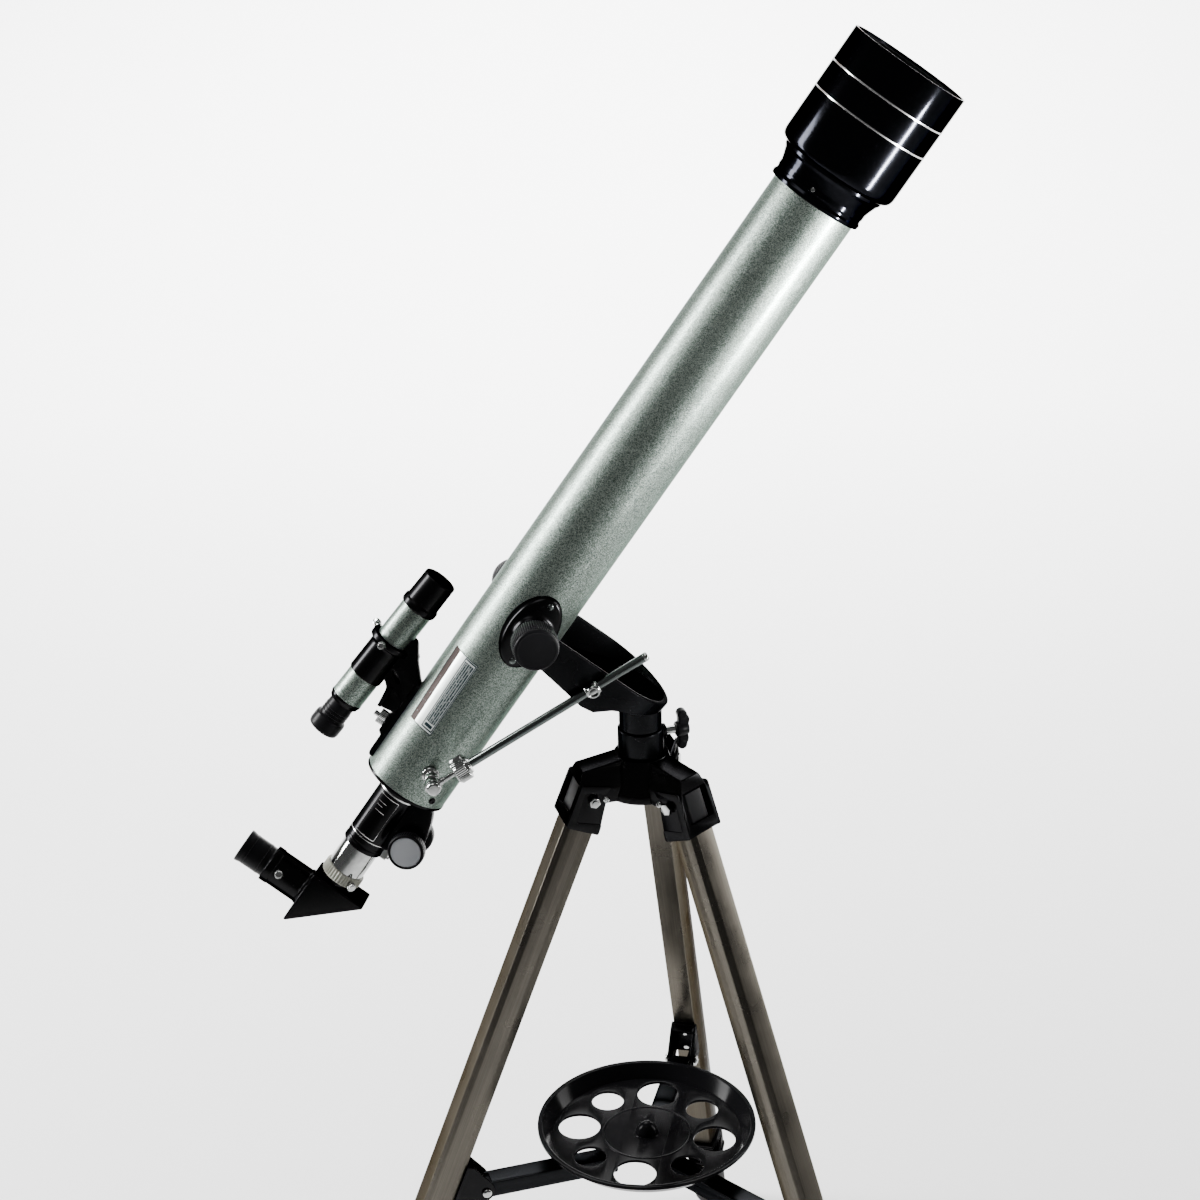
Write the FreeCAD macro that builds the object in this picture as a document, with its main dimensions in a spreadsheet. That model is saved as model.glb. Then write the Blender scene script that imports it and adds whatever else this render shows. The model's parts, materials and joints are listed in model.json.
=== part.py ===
import FreeCAD, Part
import math
import os
import Sketcher

# Refractor telescope on an inclined yoke mount and a three-legged stand.
# World frame: millimetres, +Z up, Z = 0 on the floor, +X the way the tube points.

# ---------------------------------------------------------------- driving dimensions
DIMENSIONS = {
    # place of the stand's vertical axis, and the heights above the floor
    "stand_x": 37.285, "stand_y": -17.705, "hinge_height": 553.0, "pivot_height": 696.0,
    "tray_height": 246.6, "pivot_setback": 81.1,
    # tube attitude at rest and the roll of focuser, finder and diagonal about the tube
    "tube_altitude": 54.47, "accessory_roll": 19.0,
    # legs
    "leg_azimuth": -171.9, "leg_lean": 21.31, "hinge_circle": 41.0, "leg_half": 11.7,
    "leg_wall": 1.5, "leg_bevel": 3.6, "leg_back_half": 8.6, "leg_head": 7.0, "leg_length": 505.0,
    "slide_gap": 0.35, "lower_top": 190.0, "lower_end": 566.0,
    "clamp_wall": 3.0, "clamp_length": 32.0, "clamp_overlap": 14.0,
    "foot_radius": 14.0, "foot_length": 38.0, "foot_socket": 12.5,
    "hinge_pin": 2.5, "pin_gap": 0.05,
    # hub
    "hub_half_width": 16.8, "arm_step_half": 15.0, "arm_crown_half": 10.4, "hinge_seat": 15.7,
    "slot_half_width": 12.05, "hub_core": 25.0, "hub_shoulder": 18.5, "collar_radius": 16.7,
    "collar_top": 46.0, "hub_roof": 26.0, "spigot_radius": 11.0, "spigot_length": 35.0,
    # brace between the legs
    "brace_along": 335.5, "brace_reach": 34.3, "brace_pin": 2.0, "arm_half_width": 8.0,
    "arm_height": 13.0, "arm_wall": 2.0, "arm_length": 105.0, "cheek_wall": 2.0,
    "plate_radius": 30.0, "plate_thickness": 6.5, "plate_stud": 3.0,
    # accessory tray
    "tray_radius": 84.0, "tray_floor": 73.0, "tray_rim": 10.0, "tray_wall": 2.2,
    "tray_circle": 52.8, "tray_big_hole": 16.1, "tray_small_hole": 12.45, "tray_groove": 33.6,
    "tray_turn": -109.4,
    # yoke
    "yoke_slope": 40.5, "yoke_half": 44.5, "yoke_wall": 4.5, "yoke_centre": 80.2, "yoke_top": 9.1,
    "yoke_bottom": 19.0, "yoke_ear": 13.0, "post_radius": 15.5, "axle_radius": 4.0,
    "lock_height": 39.0, "lock_screw": 3.0,
    # altitude knobs and the plates on the tube
    "knob_radius": 16.2, "knob_inner": 46.0, "knob_outer": 62.7,
    "plate_half_long": 29.0, "plate_half_wide": 17.5, "plate_face": 35.5, "boss_radius": 13.0,
    "boss_face": 39.6,
    # slow-motion rod
    "rod_plane": 49.0, "rod_rise": 29.55, "rod_radius": 3.2, "rod_screw": 1.75, "rod_start": 31.0,
    "rod_end": 175.3, "stud_along": 128.0, "nut_radius": 9.5, "swivel_along": 131.2,
    "swivel_radius": 5.0,
    # main tube, cell and dew shield, all measured along the tube from the pivot
    "tube_radius": 31.4, "tube_wall": 1.0, "tube_rear": 153.0, "tube_front": 362.0,
    "neck_rear": 352.0, "hood_rear": 374.9, "hood_front": 461.8, "hood_radius": 43.84, "hood_wall": 2.0,
    "lens_radius": 30.5, "lens_rear": 374.0, "crown_edge": 2.6, "flint_centre": 3.0,
    "crown_front_curve": 420.0, "crown_back_curve": 300.0,
    # focuser
    "focuser_radius": 15.0, "focuser_rear": 212.5, "draw_radius": 13.7, "draw_bore": 12.6,
    "draw_rear": 234.0, "draw_front": 130.0, "pinion_drop": 28.0, "pinion_along": 190.0,
    "pinion_pitch": 7.2, "pinion_teeth": 16, "rack_half_width": 2.5, "focus_knob": 13.4,
    "focus_knob_inner": 13.0, "focus_knob_outer": 23.0, "shaft_radius": 2.5,
    # diagonal and eyepiece
    "barrel_radius": 12.25, "ring_radius": 15.2, "ring_rear": 242.4, "diagonal_face": 246.7,
    "diagonal_near": 16.6, "diagonal_far": 26.8, "diagonal_half": 14.85, "optical_turn": 264.7,
    "holder_radius": 13.6, "holder_end": 48.2, "eyepiece_end": 70.8,
    # finder
    "finder_lift": 61.8, "finder_front": 14.6, "finder_tilt": 3.76, "finder_radius": 12.0,
    "finder_wall": 1.1, "finder_length": 116.0, "finder_hood": 12.3, "finder_ring": 13.5,
    "finder_eye": 9.6, "finder_end": 142.0, "sleeve_radius": 13.0, "sleeve_flange": 16.0,
}

doc = FreeCAD.newDocument("RefractorTelescope")
sheet = doc.addObject("Spreadsheet::Sheet", "Dims")
for row, (alias, number) in enumerate(DIMENSIONS.items(), start=1):
    sheet.set("A%d" % row, alias)
    sheet.set("B%d" % row, str(number))
    sheet.setAlias("B%d" % row, alias)
doc.recompute()

NODES = []
XY, XZ, YZ = "XY_Plane", "XZ_Plane", "YZ_Plane"
X_AXIS, Y_AXIS, Z_AXIS = FreeCAD.Vector(1, 0, 0), FreeCAD.Vector(0, 1, 0), FreeCAD.Vector(0, 0, 1)


class Size:
    """A length that carries both its value now and the sheet expression that drives it."""

    def __init__(self, value, text):
        self.value = float(value)
        self.text = text

    def combine(self, sign, other, result):
        return Size(result, "(%s %s %s)" % (self.text, sign, size(other).text))

    def __add__(self, other):
        return self.combine("+", other, self.value + size(other).value)

    def __sub__(self, other):
        return self.combine("-", other, self.value - size(other).value)

    def __mul__(self, other):
        return self.combine("*", other, self.value * size(other).value)

    def __truediv__(self, other):
        return self.combine("/", other, self.value / size(other).value)

    def __neg__(self):
        return Size(-self.value, "(0 - %s)" % self.text)

    def __radd__(self, other):
        return size(other) + self

    def __rsub__(self, other):
        return size(other) - self

    def __rmul__(self, other):
        return size(other) * self


def size(number):
    """Turns a plain number into a Size, and leaves a Size alone."""
    if isinstance(number, Size):
        return number
    return Size(number, repr(float(number)))


def dim(alias):
    """The sheet cell of that alias, as a Size."""
    return Size(sheet.get(alias), "Dims.%s" % alias)


D = {alias: dim(alias) for alias in DIMENSIONS}


def bind(target, prop, number):
    """Drives one property of an object by the sheet."""
    target.setExpression(prop, size(number).text)


# ---------------------------------------------------------------- frames
def turn(axis, degrees):
    return FreeCAD.Placement(FreeCAD.Vector(0, 0, 0), FreeCAD.Rotation(axis, size(degrees).value))


def shift(along_x, along_y, along_z):
    vector = FreeCAD.Vector(size(along_x).value, size(along_y).value, size(along_z).value)
    return FreeCAD.Placement(vector, FreeCAD.Rotation())


STAND = shift(D["stand_x"], D["stand_y"], 0)
PIVOT = STAND * shift(-D["pivot_setback"], 0, D["pivot_height"])
TUBE = PIVOT * turn(Y_AXIS, 90 - D["tube_altitude"])          # local Z along the tube, -X its upper side
ACCESSORY = TUBE * turn(Z_AXIS, -D["accessory_roll"])         # the same, rolled with focuser and finder
FINDER = ACCESSORY * shift(-D["finder_lift"], 0, -D["finder_front"]) * turn(Y_AXIS, D["finder_tilt"])
TRAY = STAND * shift(0, 0, D["tray_height"]) * turn(Z_AXIS, D["tray_turn"])
ROD = (TUBE * shift(0, -D["rod_plane"], -D["stud_along"])
       * turn(Y_AXIS, D["tube_altitude"] - D["rod_rise"]))    # local Z along the slow-motion rod


def leg_frame(leg):
    """Hinge of one leg: local -Z runs down the leg, +X faces outward."""
    spin = turn(Z_AXIS, D["leg_azimuth"] + 120.0 * leg)
    return STAND * spin * shift(D["hinge_circle"], 0, D["hinge_height"]) * turn(Y_AXIS, -D["leg_lean"])


def brace_frame(leg):
    """Hinge of one brace arm: local X runs level towards the stand's axis."""
    spot = leg_frame(leg) * shift(-D["brace_reach"], 0, -D["brace_along"])
    level = turn(Z_AXIS, D["leg_azimuth"] + 120.0 * leg + 180)
    return FreeCAD.Placement(spot.Base, level.Rotation)


# ---------------------------------------------------------------- building blocks
def plane_of(body, role):
    return [feature for feature in body.Origin.OriginFeatures if feature.Role == role][0]


def new_body(name):
    return doc.addObject("PartDesign::Body", name)


def new_sketch(body, name, plane, offset=0):
    sketch = body.newObject("Sketcher::SketchObject", name)
    sketch.AttachmentSupport = [(plane_of(body, plane), "")]
    sketch.MapMode = "FlatFace"
    if offset:
        bind(sketch, "AttachmentOffset.Base.z", offset)
    return sketch


def fix_point(sketch, edge, end, point):
    """Holds one end of a line, or a circle's centre, at its place from the origin."""
    for kind, axis, coordinate in (("DistanceX", -2, point[0]), ("DistanceY", -1, point[1])):
        coordinate = size(coordinate)
        if abs(coordinate.value) < 1e-9:
            sketch.addConstraint(Sketcher.Constraint("PointOnObject", edge, end, axis))
            continue
        index = sketch.addConstraint(Sketcher.Constraint(kind, edge, end, coordinate.value))
        sketch.setExpression("Constraints[%d]" % index, coordinate.text)


def draw_wire(sketch, points):
    """Closed outline of straight lines through the points."""
    first = sketch.GeometryCount
    count = len(points)
    spots = [FreeCAD.Vector(size(p[0]).value, size(p[1]).value, 0) for p in points]
    for index in range(count):
        sketch.addGeometry(Part.LineSegment(spots[index], spots[(index + 1) % count]), False)
    for index in range(count):
        following = first + (index + 1) % count
        sketch.addConstraint(Sketcher.Constraint("Coincident", first + index, 2, following, 1))
        fix_point(sketch, first + index, 1, points[index])


def draw_circle(sketch, centre, radius):
    spot = FreeCAD.Vector(size(centre[0]).value, size(centre[1]).value, 0)
    edge = sketch.addGeometry(Part.Circle(spot, Z_AXIS, size(radius).value), False)
    index = sketch.addConstraint(Sketcher.Constraint("Radius", edge, size(radius).value))
    sketch.setExpression("Constraints[%d]" % index, size(radius).text)
    fix_point(sketch, edge, 3, centre)


def revolve(body, name, profile):
    """Turned shape about local Z from (radius, height) points."""
    sketch = new_sketch(body, name + "Profile", XZ)
    draw_wire(sketch, profile)
    feature = body.newObject("PartDesign::Revolution", name)
    feature.Profile = sketch
    feature.ReferenceAxis = (sketch, ["V_Axis"])
    feature.Angle = 360
    return feature


def pad(body, name, wires, length, plane=XY, offset=0, symmetric=False):
    sketch = new_sketch(body, name + "Sketch", plane, offset)
    for points in wires:
        draw_wire(sketch, points)
    feature = body.newObject("PartDesign::Pad", name)
    feature.Profile = sketch
    bind(feature, "Length", length)
    if symmetric:
        feature.SideType = "Symmetric"
    return feature


def pocket(body, name, wires, circles, length, plane=XZ, offset=0, symmetric=True, reverse=False):
    """Cuts outlines and circles; symmetric about the sketch plane unless told otherwise."""
    sketch = new_sketch(body, name + "Sketch", plane, offset)
    for points in wires:
        draw_wire(sketch, points)
    for centre, radius in circles:
        draw_circle(sketch, centre, radius)
    feature = body.newObject("PartDesign::Pocket", name)
    feature.Profile = sketch
    bind(feature, "Length", length)
    feature.Reversed = reverse
    if symmetric:
        feature.SideType = "Symmetric"
    return feature


def ring_pattern(body, name, features, count):
    """Repeats features about local Z."""
    pattern = body.newObject("PartDesign::PolarPattern", name)
    pattern.Originals = features
    pattern.Axis = (new_axis(body), [""])
    pattern.Angle = 360
    pattern.Occurrences = int(count)
    body.Tip = pattern
    return pattern


def new_axis(body):
    return plane_of(body, "Z_Axis")


def round_bar(name, radius, length, place):
    """Part::Cylinder from its place along local Z."""
    bar = doc.addObject("Part::Cylinder", name)
    bind(bar, "Radius", radius)
    bind(bar, "Height", length)
    bar.Placement = place
    return bar


def block(name, extent, place):
    """Part::Box whose corner is at its place."""
    box = doc.addObject("Part::Box", name)
    for prop, number in zip(("Length", "Width", "Height"), extent):
        bind(box, prop, number)
    box.Placement = place
    return box


def ball(name, radius, place):
    sphere = doc.addObject("Part::Sphere", name)
    bind(sphere, "Radius", radius)
    sphere.Placement = place
    return sphere


def join(name, shapes):
    fusion = doc.addObject("Part::MultiFuse", name)
    fusion.Shapes = shapes
    return fusion


def cut(name, base, tool):
    difference = doc.addObject("Part::Cut", name)
    difference.Base = base
    difference.Tool = tool
    return difference


def common(name, shapes):
    overlap = doc.addObject("Part::MultiCommon", name)
    overlap.Shapes = shapes
    return overlap


def finish(shape_object, node, place=None):
    """Names a finished sub-part and puts it in its place."""
    shape_object.Label = node
    if place is not None:
        shape_object.Placement = place
    NODES.append(shape_object)
    return shape_object


def turned(node, profile, place):
    """A whole sub-part that is one turned shape."""
    body = new_body(node)
    revolve(body, node + "_turning", profile)
    return finish(body, node, place)


# ---------------------------------------------------------------- stand
def leg_outline(inset, bevel):
    """Eight-sided section of a leg: bevelled outer corners and a tapered inner half."""
    half = D["leg_half"] - inset
    back = D["leg_back_half"] - inset * 0.8
    side = -half * 0.3
    edge = [(half, half - bevel), (half - bevel, half), (side, half), (-half, back)]
    return edge + [(along, -across) for along, across in reversed(edge)]


def make_hub():
    """Collar over a cone with three forked arms, whose flanks lean in towards the roof."""
    roof = D["hub_roof"]
    top = D["collar_top"]
    shoulder = D["hub_shoulder"]
    core = new_body("hub_core")
    revolve(core, "hub_core_turning", [(0, -4), (D["hub_core"], -4), (shoulder, roof - 2),
                                       (shoulder - 1, roof),
                                       (D["collar_radius"], roof), (D["collar_radius"], top), (0, top)])
    arms = [make_hub_arm(index, turn(Z_AXIS, 120.0 * index)) for index in range(3)]
    cuts = [make_leg_slot(index, turn(Z_AXIS, 120.0 * index)) for index in range(3)]
    for index in range(3):
        across = turn(Z_AXIS, 120.0 * index) * shift(D["hinge_circle"], 0, 0) * turn(X_AXIS, 90)
        cuts.append(round_bar("hinge_bore_%d" % (index + 1), D["hinge_pin"], 60, across * shift(0, 0, -30)))
    cuts.append(round_bar("azimuth_bore", D["spigot_radius"] + D["pin_gap"], top, shift(0, 0, 8)))
    cuts.append(round_bar("lock_bore", D["lock_screw"] + D["pin_gap"], 30,
                          shift(0, 0, D["lock_height"]) * turn(Y_AXIS, -90)))
    solid = join("hub_solid", [core] + arms)
    finish(cut("hub", solid, join("hub_cuts", cuts)), "hub",
           STAND * turn(Z_AXIS, D["leg_azimuth"]) * shift(0, 0, D["hinge_height"]))


def make_hub_arm(index, spin):
    """One arm: its side outline, kept only where its tapered section also is."""
    roof = D["hub_roof"]
    foot = D["hub_half_width"]
    step = D["arm_step_half"]
    crown = D["arm_crown_half"]
    side = new_body("hub_arm_side_%d" % (index + 1))
    pad(side, "arm_side_%d" % (index + 1), [[(0, roof), (12, roof), (47, 20.5), (62, -17.5), (37.5, -28),
                                             (31.5, -4), (0, -4)]], foot * 2, XZ, symmetric=True)
    section = new_body("hub_arm_section_%d" % (index + 1))
    pad(section, "arm_section_%d" % (index + 1), [[(-foot, -28), (foot, -28), (step, 8), (crown, 21),
                                                   (crown, roof), (-crown, roof), (-crown, 21),
                                                   (-step, 8)]], 64, YZ)
    side.Placement = spin
    section.Placement = spin
    return common("hub_arm_%d" % (index + 1), [side, section])


def make_leg_slot(index, spin):
    """Pocket for the top of a leg, open below and through the outer face of the arm."""
    body = new_body("leg_slot_%d" % (index + 1))
    top = D["leg_head"] + 5
    lip = D["hinge_circle"] + D["leg_half"] + 5
    pad(body, "leg_slot_pad_%d" % (index + 1), [[(25.6, top), (75, top), (75, -9), (lip, -9),
                                                 (lip + 10.5, -36), (25.6, -36)]],
        D["slot_half_width"] * 2, XZ, symmetric=True)
    body.Placement = spin
    return body


def make_hinge_bolts():
    bolts = []
    for leg in range(3):
        across = leg_frame(leg) * turn(X_AXIS, 90)
        half = D["hinge_seat"]
        shank = round_bar("hinge_shank_%d" % (leg + 1), D["hinge_pin"], half * 2,
                          across * shift(0, 0, -half))
        heads = [round_bar("hinge_head_%d_%d" % (leg + 1, side + 1), 4.6, 3.4,
                           across * shift(0, 0, half * side - 3.4 * (1 - side) - half * (1 - side)))
                 for side in (0, 1)]
        bolts.append(join("hinge_bolt_%d" % (leg + 1), [shank] + heads))
    finish(join("hinge_bolts", bolts), "hinge_bolts")


def make_leg(leg):
    name = "leg_%d" % leg
    body = new_body(name)
    pad(body, name + "_tube", [leg_outline(0, D["leg_bevel"]), leg_outline(D["leg_wall"], D["leg_bevel"])],
        D["leg_length"] + D["leg_head"], XY, offset=-D["leg_length"])
    pocket(body, name + "_bore", [], [((0, 0), D["hinge_pin"] + D["pin_gap"])], 60)
    finish(body, name, leg_frame(leg - 1))


def make_lower_leg(leg):
    name = "lower_leg_%d" % leg
    body = new_body(name)
    inset = D["leg_wall"] + D["slide_gap"]
    pad(body, name + "_tube", [leg_outline(inset, D["leg_bevel"]),
                               leg_outline(inset + D["leg_wall"], D["leg_bevel"])],
        D["lower_end"] - D["lower_top"], XY, offset=-D["lower_end"])
    finish(body, name, leg_frame(leg - 1))


def make_clamp(leg):
    """Plastic collar at the end of the upper leg, which guides and grips the lower one."""
    name = "leg_clamp_%d" % leg
    body = new_body(name)
    low_end = D["leg_length"] - D["clamp_overlap"] + D["clamp_length"]
    pad(body, name + "_collar", [leg_outline(-D["clamp_wall"], D["leg_bevel"])], D["clamp_length"], XY,
        offset=-low_end)
    pocket(body, name + "_seat", [leg_outline(0, D["leg_bevel"])], [], D["clamp_overlap"], XY,
           offset=-(D["leg_length"] - D["clamp_overlap"]), symmetric=False)
    pocket(body, name + "_guide", [leg_outline(D["leg_wall"], D["leg_bevel"])], [], D["clamp_length"] * 2,
           XY, offset=-(D["leg_length"] - D["clamp_overlap"]), symmetric=False)
    pocket(body, name + "_screw_bore", [], [((0, -(D["leg_length"] + 9)), D["lock_screw"] + D["pin_gap"])],
           30, YZ, symmetric=False, reverse=True)
    finish(body, name, leg_frame(leg - 1))


def make_leg_screw(leg):
    tip = D["leg_half"] - D["leg_wall"] + 0.1
    head = D["leg_half"] + D["clamp_wall"] + 2
    place = leg_frame(leg - 1) * shift(0, 0, -(D["leg_length"] + 9)) * turn(Y_AXIS, 90)
    turned("leg_screw_%d" % leg, [(0, tip), (D["lock_screw"], tip), (D["lock_screw"], head), (7.5, head),
                                  (9, head + 1.5), (9, head + 10), (7.5, head + 11.5), (0, head + 11.5)],
           place)


def make_foot(leg):
    """Rubber foot: a round tip under a sleeve that takes the end of the lower leg."""
    name = "foot_%d" % leg
    centre = (D["hinge_height"].value - D["foot_radius"].value) / math.cos(math.radians(D["leg_lean"].value))
    tip = ball(name + "_tip", D["foot_radius"], shift(0, 0, -centre))
    sleeve = round_bar(name + "_sleeve", D["foot_radius"], D["foot_length"], shift(0, 0, -centre))
    socket = round_bar(name + "_socket", D["foot_socket"], D["foot_length"] + 30,
                       shift(0, 0, -D["lower_end"]))
    finish(cut(name, join(name + "_outer", [tip, sleeve]), socket), name, leg_frame(leg - 1))


def make_bracket(leg):
    """Hinge bracket on the inner face of a leg: two cheeks on a base plate."""
    name = "brace_bracket_%d" % leg
    body = new_body(name)
    outer = D["arm_half_width"] + 0.2 + D["cheek_wall"]
    face = -D["leg_half"]
    pin_x, pin_z = -D["brace_reach"], -D["brace_along"]
    cheek = [(face, pin_z + 19), (face, pin_z - 17), (face - 9, pin_z - 17), (pin_x - 3, pin_z - 8),
             (pin_x - 7, pin_z), (pin_x - 3, pin_z + 8), (face - 5, pin_z + 19)]
    pad(body, name + "_block", [cheek], outer * 2, XZ, symmetric=True)
    pocket(body, name + "_gap", [[(face - 2.5, pin_z + 25), (face - 2.5, pin_z - 25),
                                  (pin_x - 12, pin_z - 25), (pin_x - 12, pin_z + 25)]], [],
           (D["arm_half_width"] + 0.2) * 2)
    pocket(body, name + "_bore", [], [((pin_x, pin_z), D["brace_pin"])], 60)
    finish(body, name, leg_frame(leg - 1))


def make_brace_pin(leg):
    half = D["arm_half_width"] + 0.2 + D["cheek_wall"]
    profile = [(0, -half - 3), (4, -half - 3), (4, -half), (D["brace_pin"], -half), (D["brace_pin"], half),
               (4, half), (4, half + 3), (0, half + 3)]
    turned("brace_pin_%d" % leg, profile, brace_frame(leg - 1) * turn(X_AXIS, 90))


def make_brace_arm(leg):
    """Channel strut, open below, from the bracket's pin to under the tray's plate."""
    name = "brace_arm_%d" % leg
    body = new_body(name)
    half, wide, wall = D["arm_height"] / 2, D["arm_half_width"], D["arm_wall"]
    pad(body, name + "_bar", [[(-4, half), (-6, half - 3), (-6, -half + 3), (-4, -half),
                               (D["arm_length"], -half), (D["arm_length"], half)]], wide * 2, XZ,
        symmetric=True)
    pocket(body, name + "_channel", [[(5, -half - 1), (5, half - wall),
                                      (D["arm_length"] + 1, half - wall),
                                      (D["arm_length"] + 1, -half - 1)]], [], (wide - wall) * 2)
    pocket(body, name + "_bore", [], [((0, 0), D["brace_pin"] + D["pin_gap"])], 60)
    finish(body, name, brace_frame(leg - 1))


def make_brace_plate():
    top, thick, stud = -D["tray_wall"], D["plate_thickness"], D["plate_stud"]
    turned("brace_plate", [(0, top - thick), (D["plate_radius"] - 2, top - thick),
                           (D["plate_radius"], top - thick + 2), (D["plate_radius"], top), (stud, top),
                           (stud, 7), (0, 7)], TRAY)


def make_tray():
    body = new_body("accessory_tray")
    wall, floor, rim = D["tray_wall"], D["tray_floor"], D["tray_radius"]
    profile = [(D["plate_stud"], -wall), (floor, -wall), (rim - 3, D["tray_rim"] - 3),
               (rim, D["tray_rim"] - 3),
               (rim, D["tray_rim"]), (rim - 4, D["tray_rim"]), (floor, 0), (D["plate_stud"], 0)]
    revolve(body, "tray_dish", profile)
    big = pocket(body, "big_hole", [], [((D["tray_circle"], 0), D["tray_big_hole"])], 20, XY)
    ring_pattern(body, "big_holes", [big], 4)
    reach = D["tray_circle"] * math.sqrt(0.5)
    small = pocket(body, "small_hole", [], [((reach, reach), D["tray_small_hole"])], 20, XY)
    ring_pattern(body, "small_holes", [small], 4)
    groove_sketch = new_sketch(body, "groove_profile", XZ)
    draw_wire(groove_sketch, [(D["tray_groove"] - 0.7, 1), (D["tray_groove"] - 0.7, -0.7),
                              (D["tray_groove"] + 0.7, -0.7), (D["tray_groove"] + 0.7, 1)])
    groove = body.newObject("PartDesign::Groove", "tray_groove_cut")
    groove.Profile = groove_sketch
    groove.ReferenceAxis = (groove_sketch, ["V_Axis"])
    groove.Angle = 360
    finish(body, "accessory_tray", TRAY)


def make_tray_knob():
    bore = D["plate_stud"] + D["pin_gap"]
    turned("tray_knob", [(bore, 0.1), (8, 0.1), (8.5, 1), (8.2, 4), (6.5, 7.5), (3.5, 9.4), (0, 10),
                         (0, 7.5),
                         (bore, 7.5)], TRAY)


# ---------------------------------------------------------------- yoke mount
def make_yoke():
    half, wall, centre = D["yoke_half"], D["yoke_wall"], D["yoke_centre"]
    low, height = -D["yoke_bottom"], D["yoke_bottom"] + D["yoke_top"]
    outer = join("yoke_outer", [block("yoke_outer_bar", (centre, half * 2, height), shift(0, -half, low)),
                                round_bar("yoke_outer_bend", half, height, shift(centre, 0, low))])
    ear_place = shift(0, -half, 0) * turn(X_AXIS, -90)
    solid = join("yoke_solid", [outer, round_bar("yoke_ears", D["yoke_ear"], half * 2, ear_place)])
    inside = half - wall
    hollow = join("yoke_hollow", [
        block("yoke_inner_bar", (centre + 20, inside * 2, height * 2), shift(-20, -inside, low - 5)),
        round_bar("yoke_inner_bend", inside, height * 2, shift(centre, 0, low - 5))])
    strap = cut("yoke_strap", solid, hollow)
    taper = block("yoke_taper", (100, half * 2 + 2, 30),
                  shift(-15, -half - 1, -43.4) * turn(Y_AXIS, 5.5))
    toe = block("yoke_toe", (80, half * 2 + 2, 30), shift(61, -half - 1, -49) * turn(Y_AXIS, -5))
    frame = cut("yoke_frame", strap, join("yoke_trims", [taper, toe]))
    floor = common("yoke_floor", [round_bar("yoke_floor_disc", half - 1, 4, shift(centre, 0, -15)),
                                  block("yoke_floor_area", (70, half * 2, 10), shift(62, -half, -17))])
    frame.Placement = turn(Y_AXIS, D["yoke_slope"])
    floor.Placement = turn(Y_AXIS, D["yoke_slope"])
    seam = D["hinge_height"] + D["collar_top"] - D["pivot_height"]
    post = cut("yoke_post", round_bar("yoke_post_bar", D["post_radius"], 60,
                                      shift(D["pivot_setback"], 0, seam)),
               block("yoke_post_slope", (140, 100, 60),
                     turn(Y_AXIS, D["yoke_slope"]) * shift(30, -50, -12)))
    spigot = round_bar("yoke_spigot", D["spigot_radius"], D["spigot_length"] + 5,
                       shift(D["pivot_setback"], 0, seam - D["spigot_length"]))
    axle = round_bar("yoke_axle_bore", D["axle_radius"] + D["pin_gap"], 120, shift(0, -60, 0)
                     * turn(X_AXIS, -90))
    finish(cut("yoke", join("yoke_joined", [frame, floor, post, spigot]), axle), "yoke", PIVOT)


def make_azimuth_knob():
    """Lock screw with an upright wing, on the rear side of the collar."""
    body = new_body("azimuth_knob")
    tip = D["spigot_radius"] + 0.35
    revolve(body, "lock_turning", [(0, tip), (D["lock_screw"], tip), (D["lock_screw"], 27), (5.5, 27),
                                   (5.5, 36), (0, 36)])
    pad(body, "lock_wing", [[(-13, -3), (-10, -5.5), (10, -5.5), (13, -3), (13, 3), (10, 5.5), (-10, 5.5),
                             (-13, 3)]], 7, XY, offset=29)
    place = (STAND * shift(0, 0, D["hinge_height"] + D["lock_height"])
             * turn(Z_AXIS, D["leg_azimuth"] + 180) * turn(Y_AXIS, 90))
    finish(body, "azimuth_knob", place)


def make_pivot_plates():
    """Oval saddles on both sides of the tube, each with a round boss for the knob's shank."""
    plates = []
    for side, name in ((-1, "near"), (1, "far")):
        away = turn(X_AXIS, -90 * side)
        oval = doc.addObject("Part::Ellipse", name + "_oval_edge")
        bind(oval, "MajorRadius", D["plate_half_long"])
        bind(oval, "MinorRadius", D["plate_half_wide"])
        oval.Placement = shift(0, 20 * side, 0) * away * turn(Z_AXIS, 90)
        slab = doc.addObject("Part::Extrusion", name + "_oval")
        slab.Base = oval
        slab.DirMode = "Custom"
        slab.Dir = FreeCAD.Vector(0, side, 0)
        slab.Solid = True
        bind(slab, "LengthFwd", D["plate_face"] - 20)
        boss = round_bar(name + "_boss", D["boss_radius"], D["boss_face"] - 20,
                         shift(0, 20 * side, 0) * away)
        plates.append(join(name + "_plate", [slab, boss]))
    tube = round_bar("plate_saddle", D["tube_radius"], 100, shift(0, 0, -50))
    bores = [round_bar("knob_bore_%d" % (side + 2), D["axle_radius"] + D["pin_gap"], 20,
                       shift(0, 30 * side, 0) * turn(X_AXIS, -90 * side)) for side in (-1, 1)]
    screws = [round_bar("screw_bore_%d" % index, 1.6, 80, shift(0, -40, place) * turn(X_AXIS, -90))
              for index, place in enumerate((-23.5, 23.5), start=1)]
    finish(cut("pivot_plates", join("plate_pair", plates), join("plate_bores", [tube] + bores + screws)),
           "pivot_plates", TUBE)


def make_plate_screws():
    screws = []
    for index, (side, along) in enumerate(((-1, -23.5), (-1, 23.5), (1, -23.5), (1, 23.5)), start=1):
        place = shift(0, 0, along) * turn(X_AXIS, -90 * side)
        shank = round_bar("plate_shank_%d" % index, 1.6, 4.2, place * shift(0, 0, D["tube_radius"]))
        head = round_bar("plate_head_%d" % index, 3, 1.8, place * shift(0, 0, D["plate_face"]))
        screws.append(join("plate_screw_%d" % index, [shank, head]))
    finish(join("pivot_plate_screws", screws), "pivot_plate_screws", TUBE)


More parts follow.
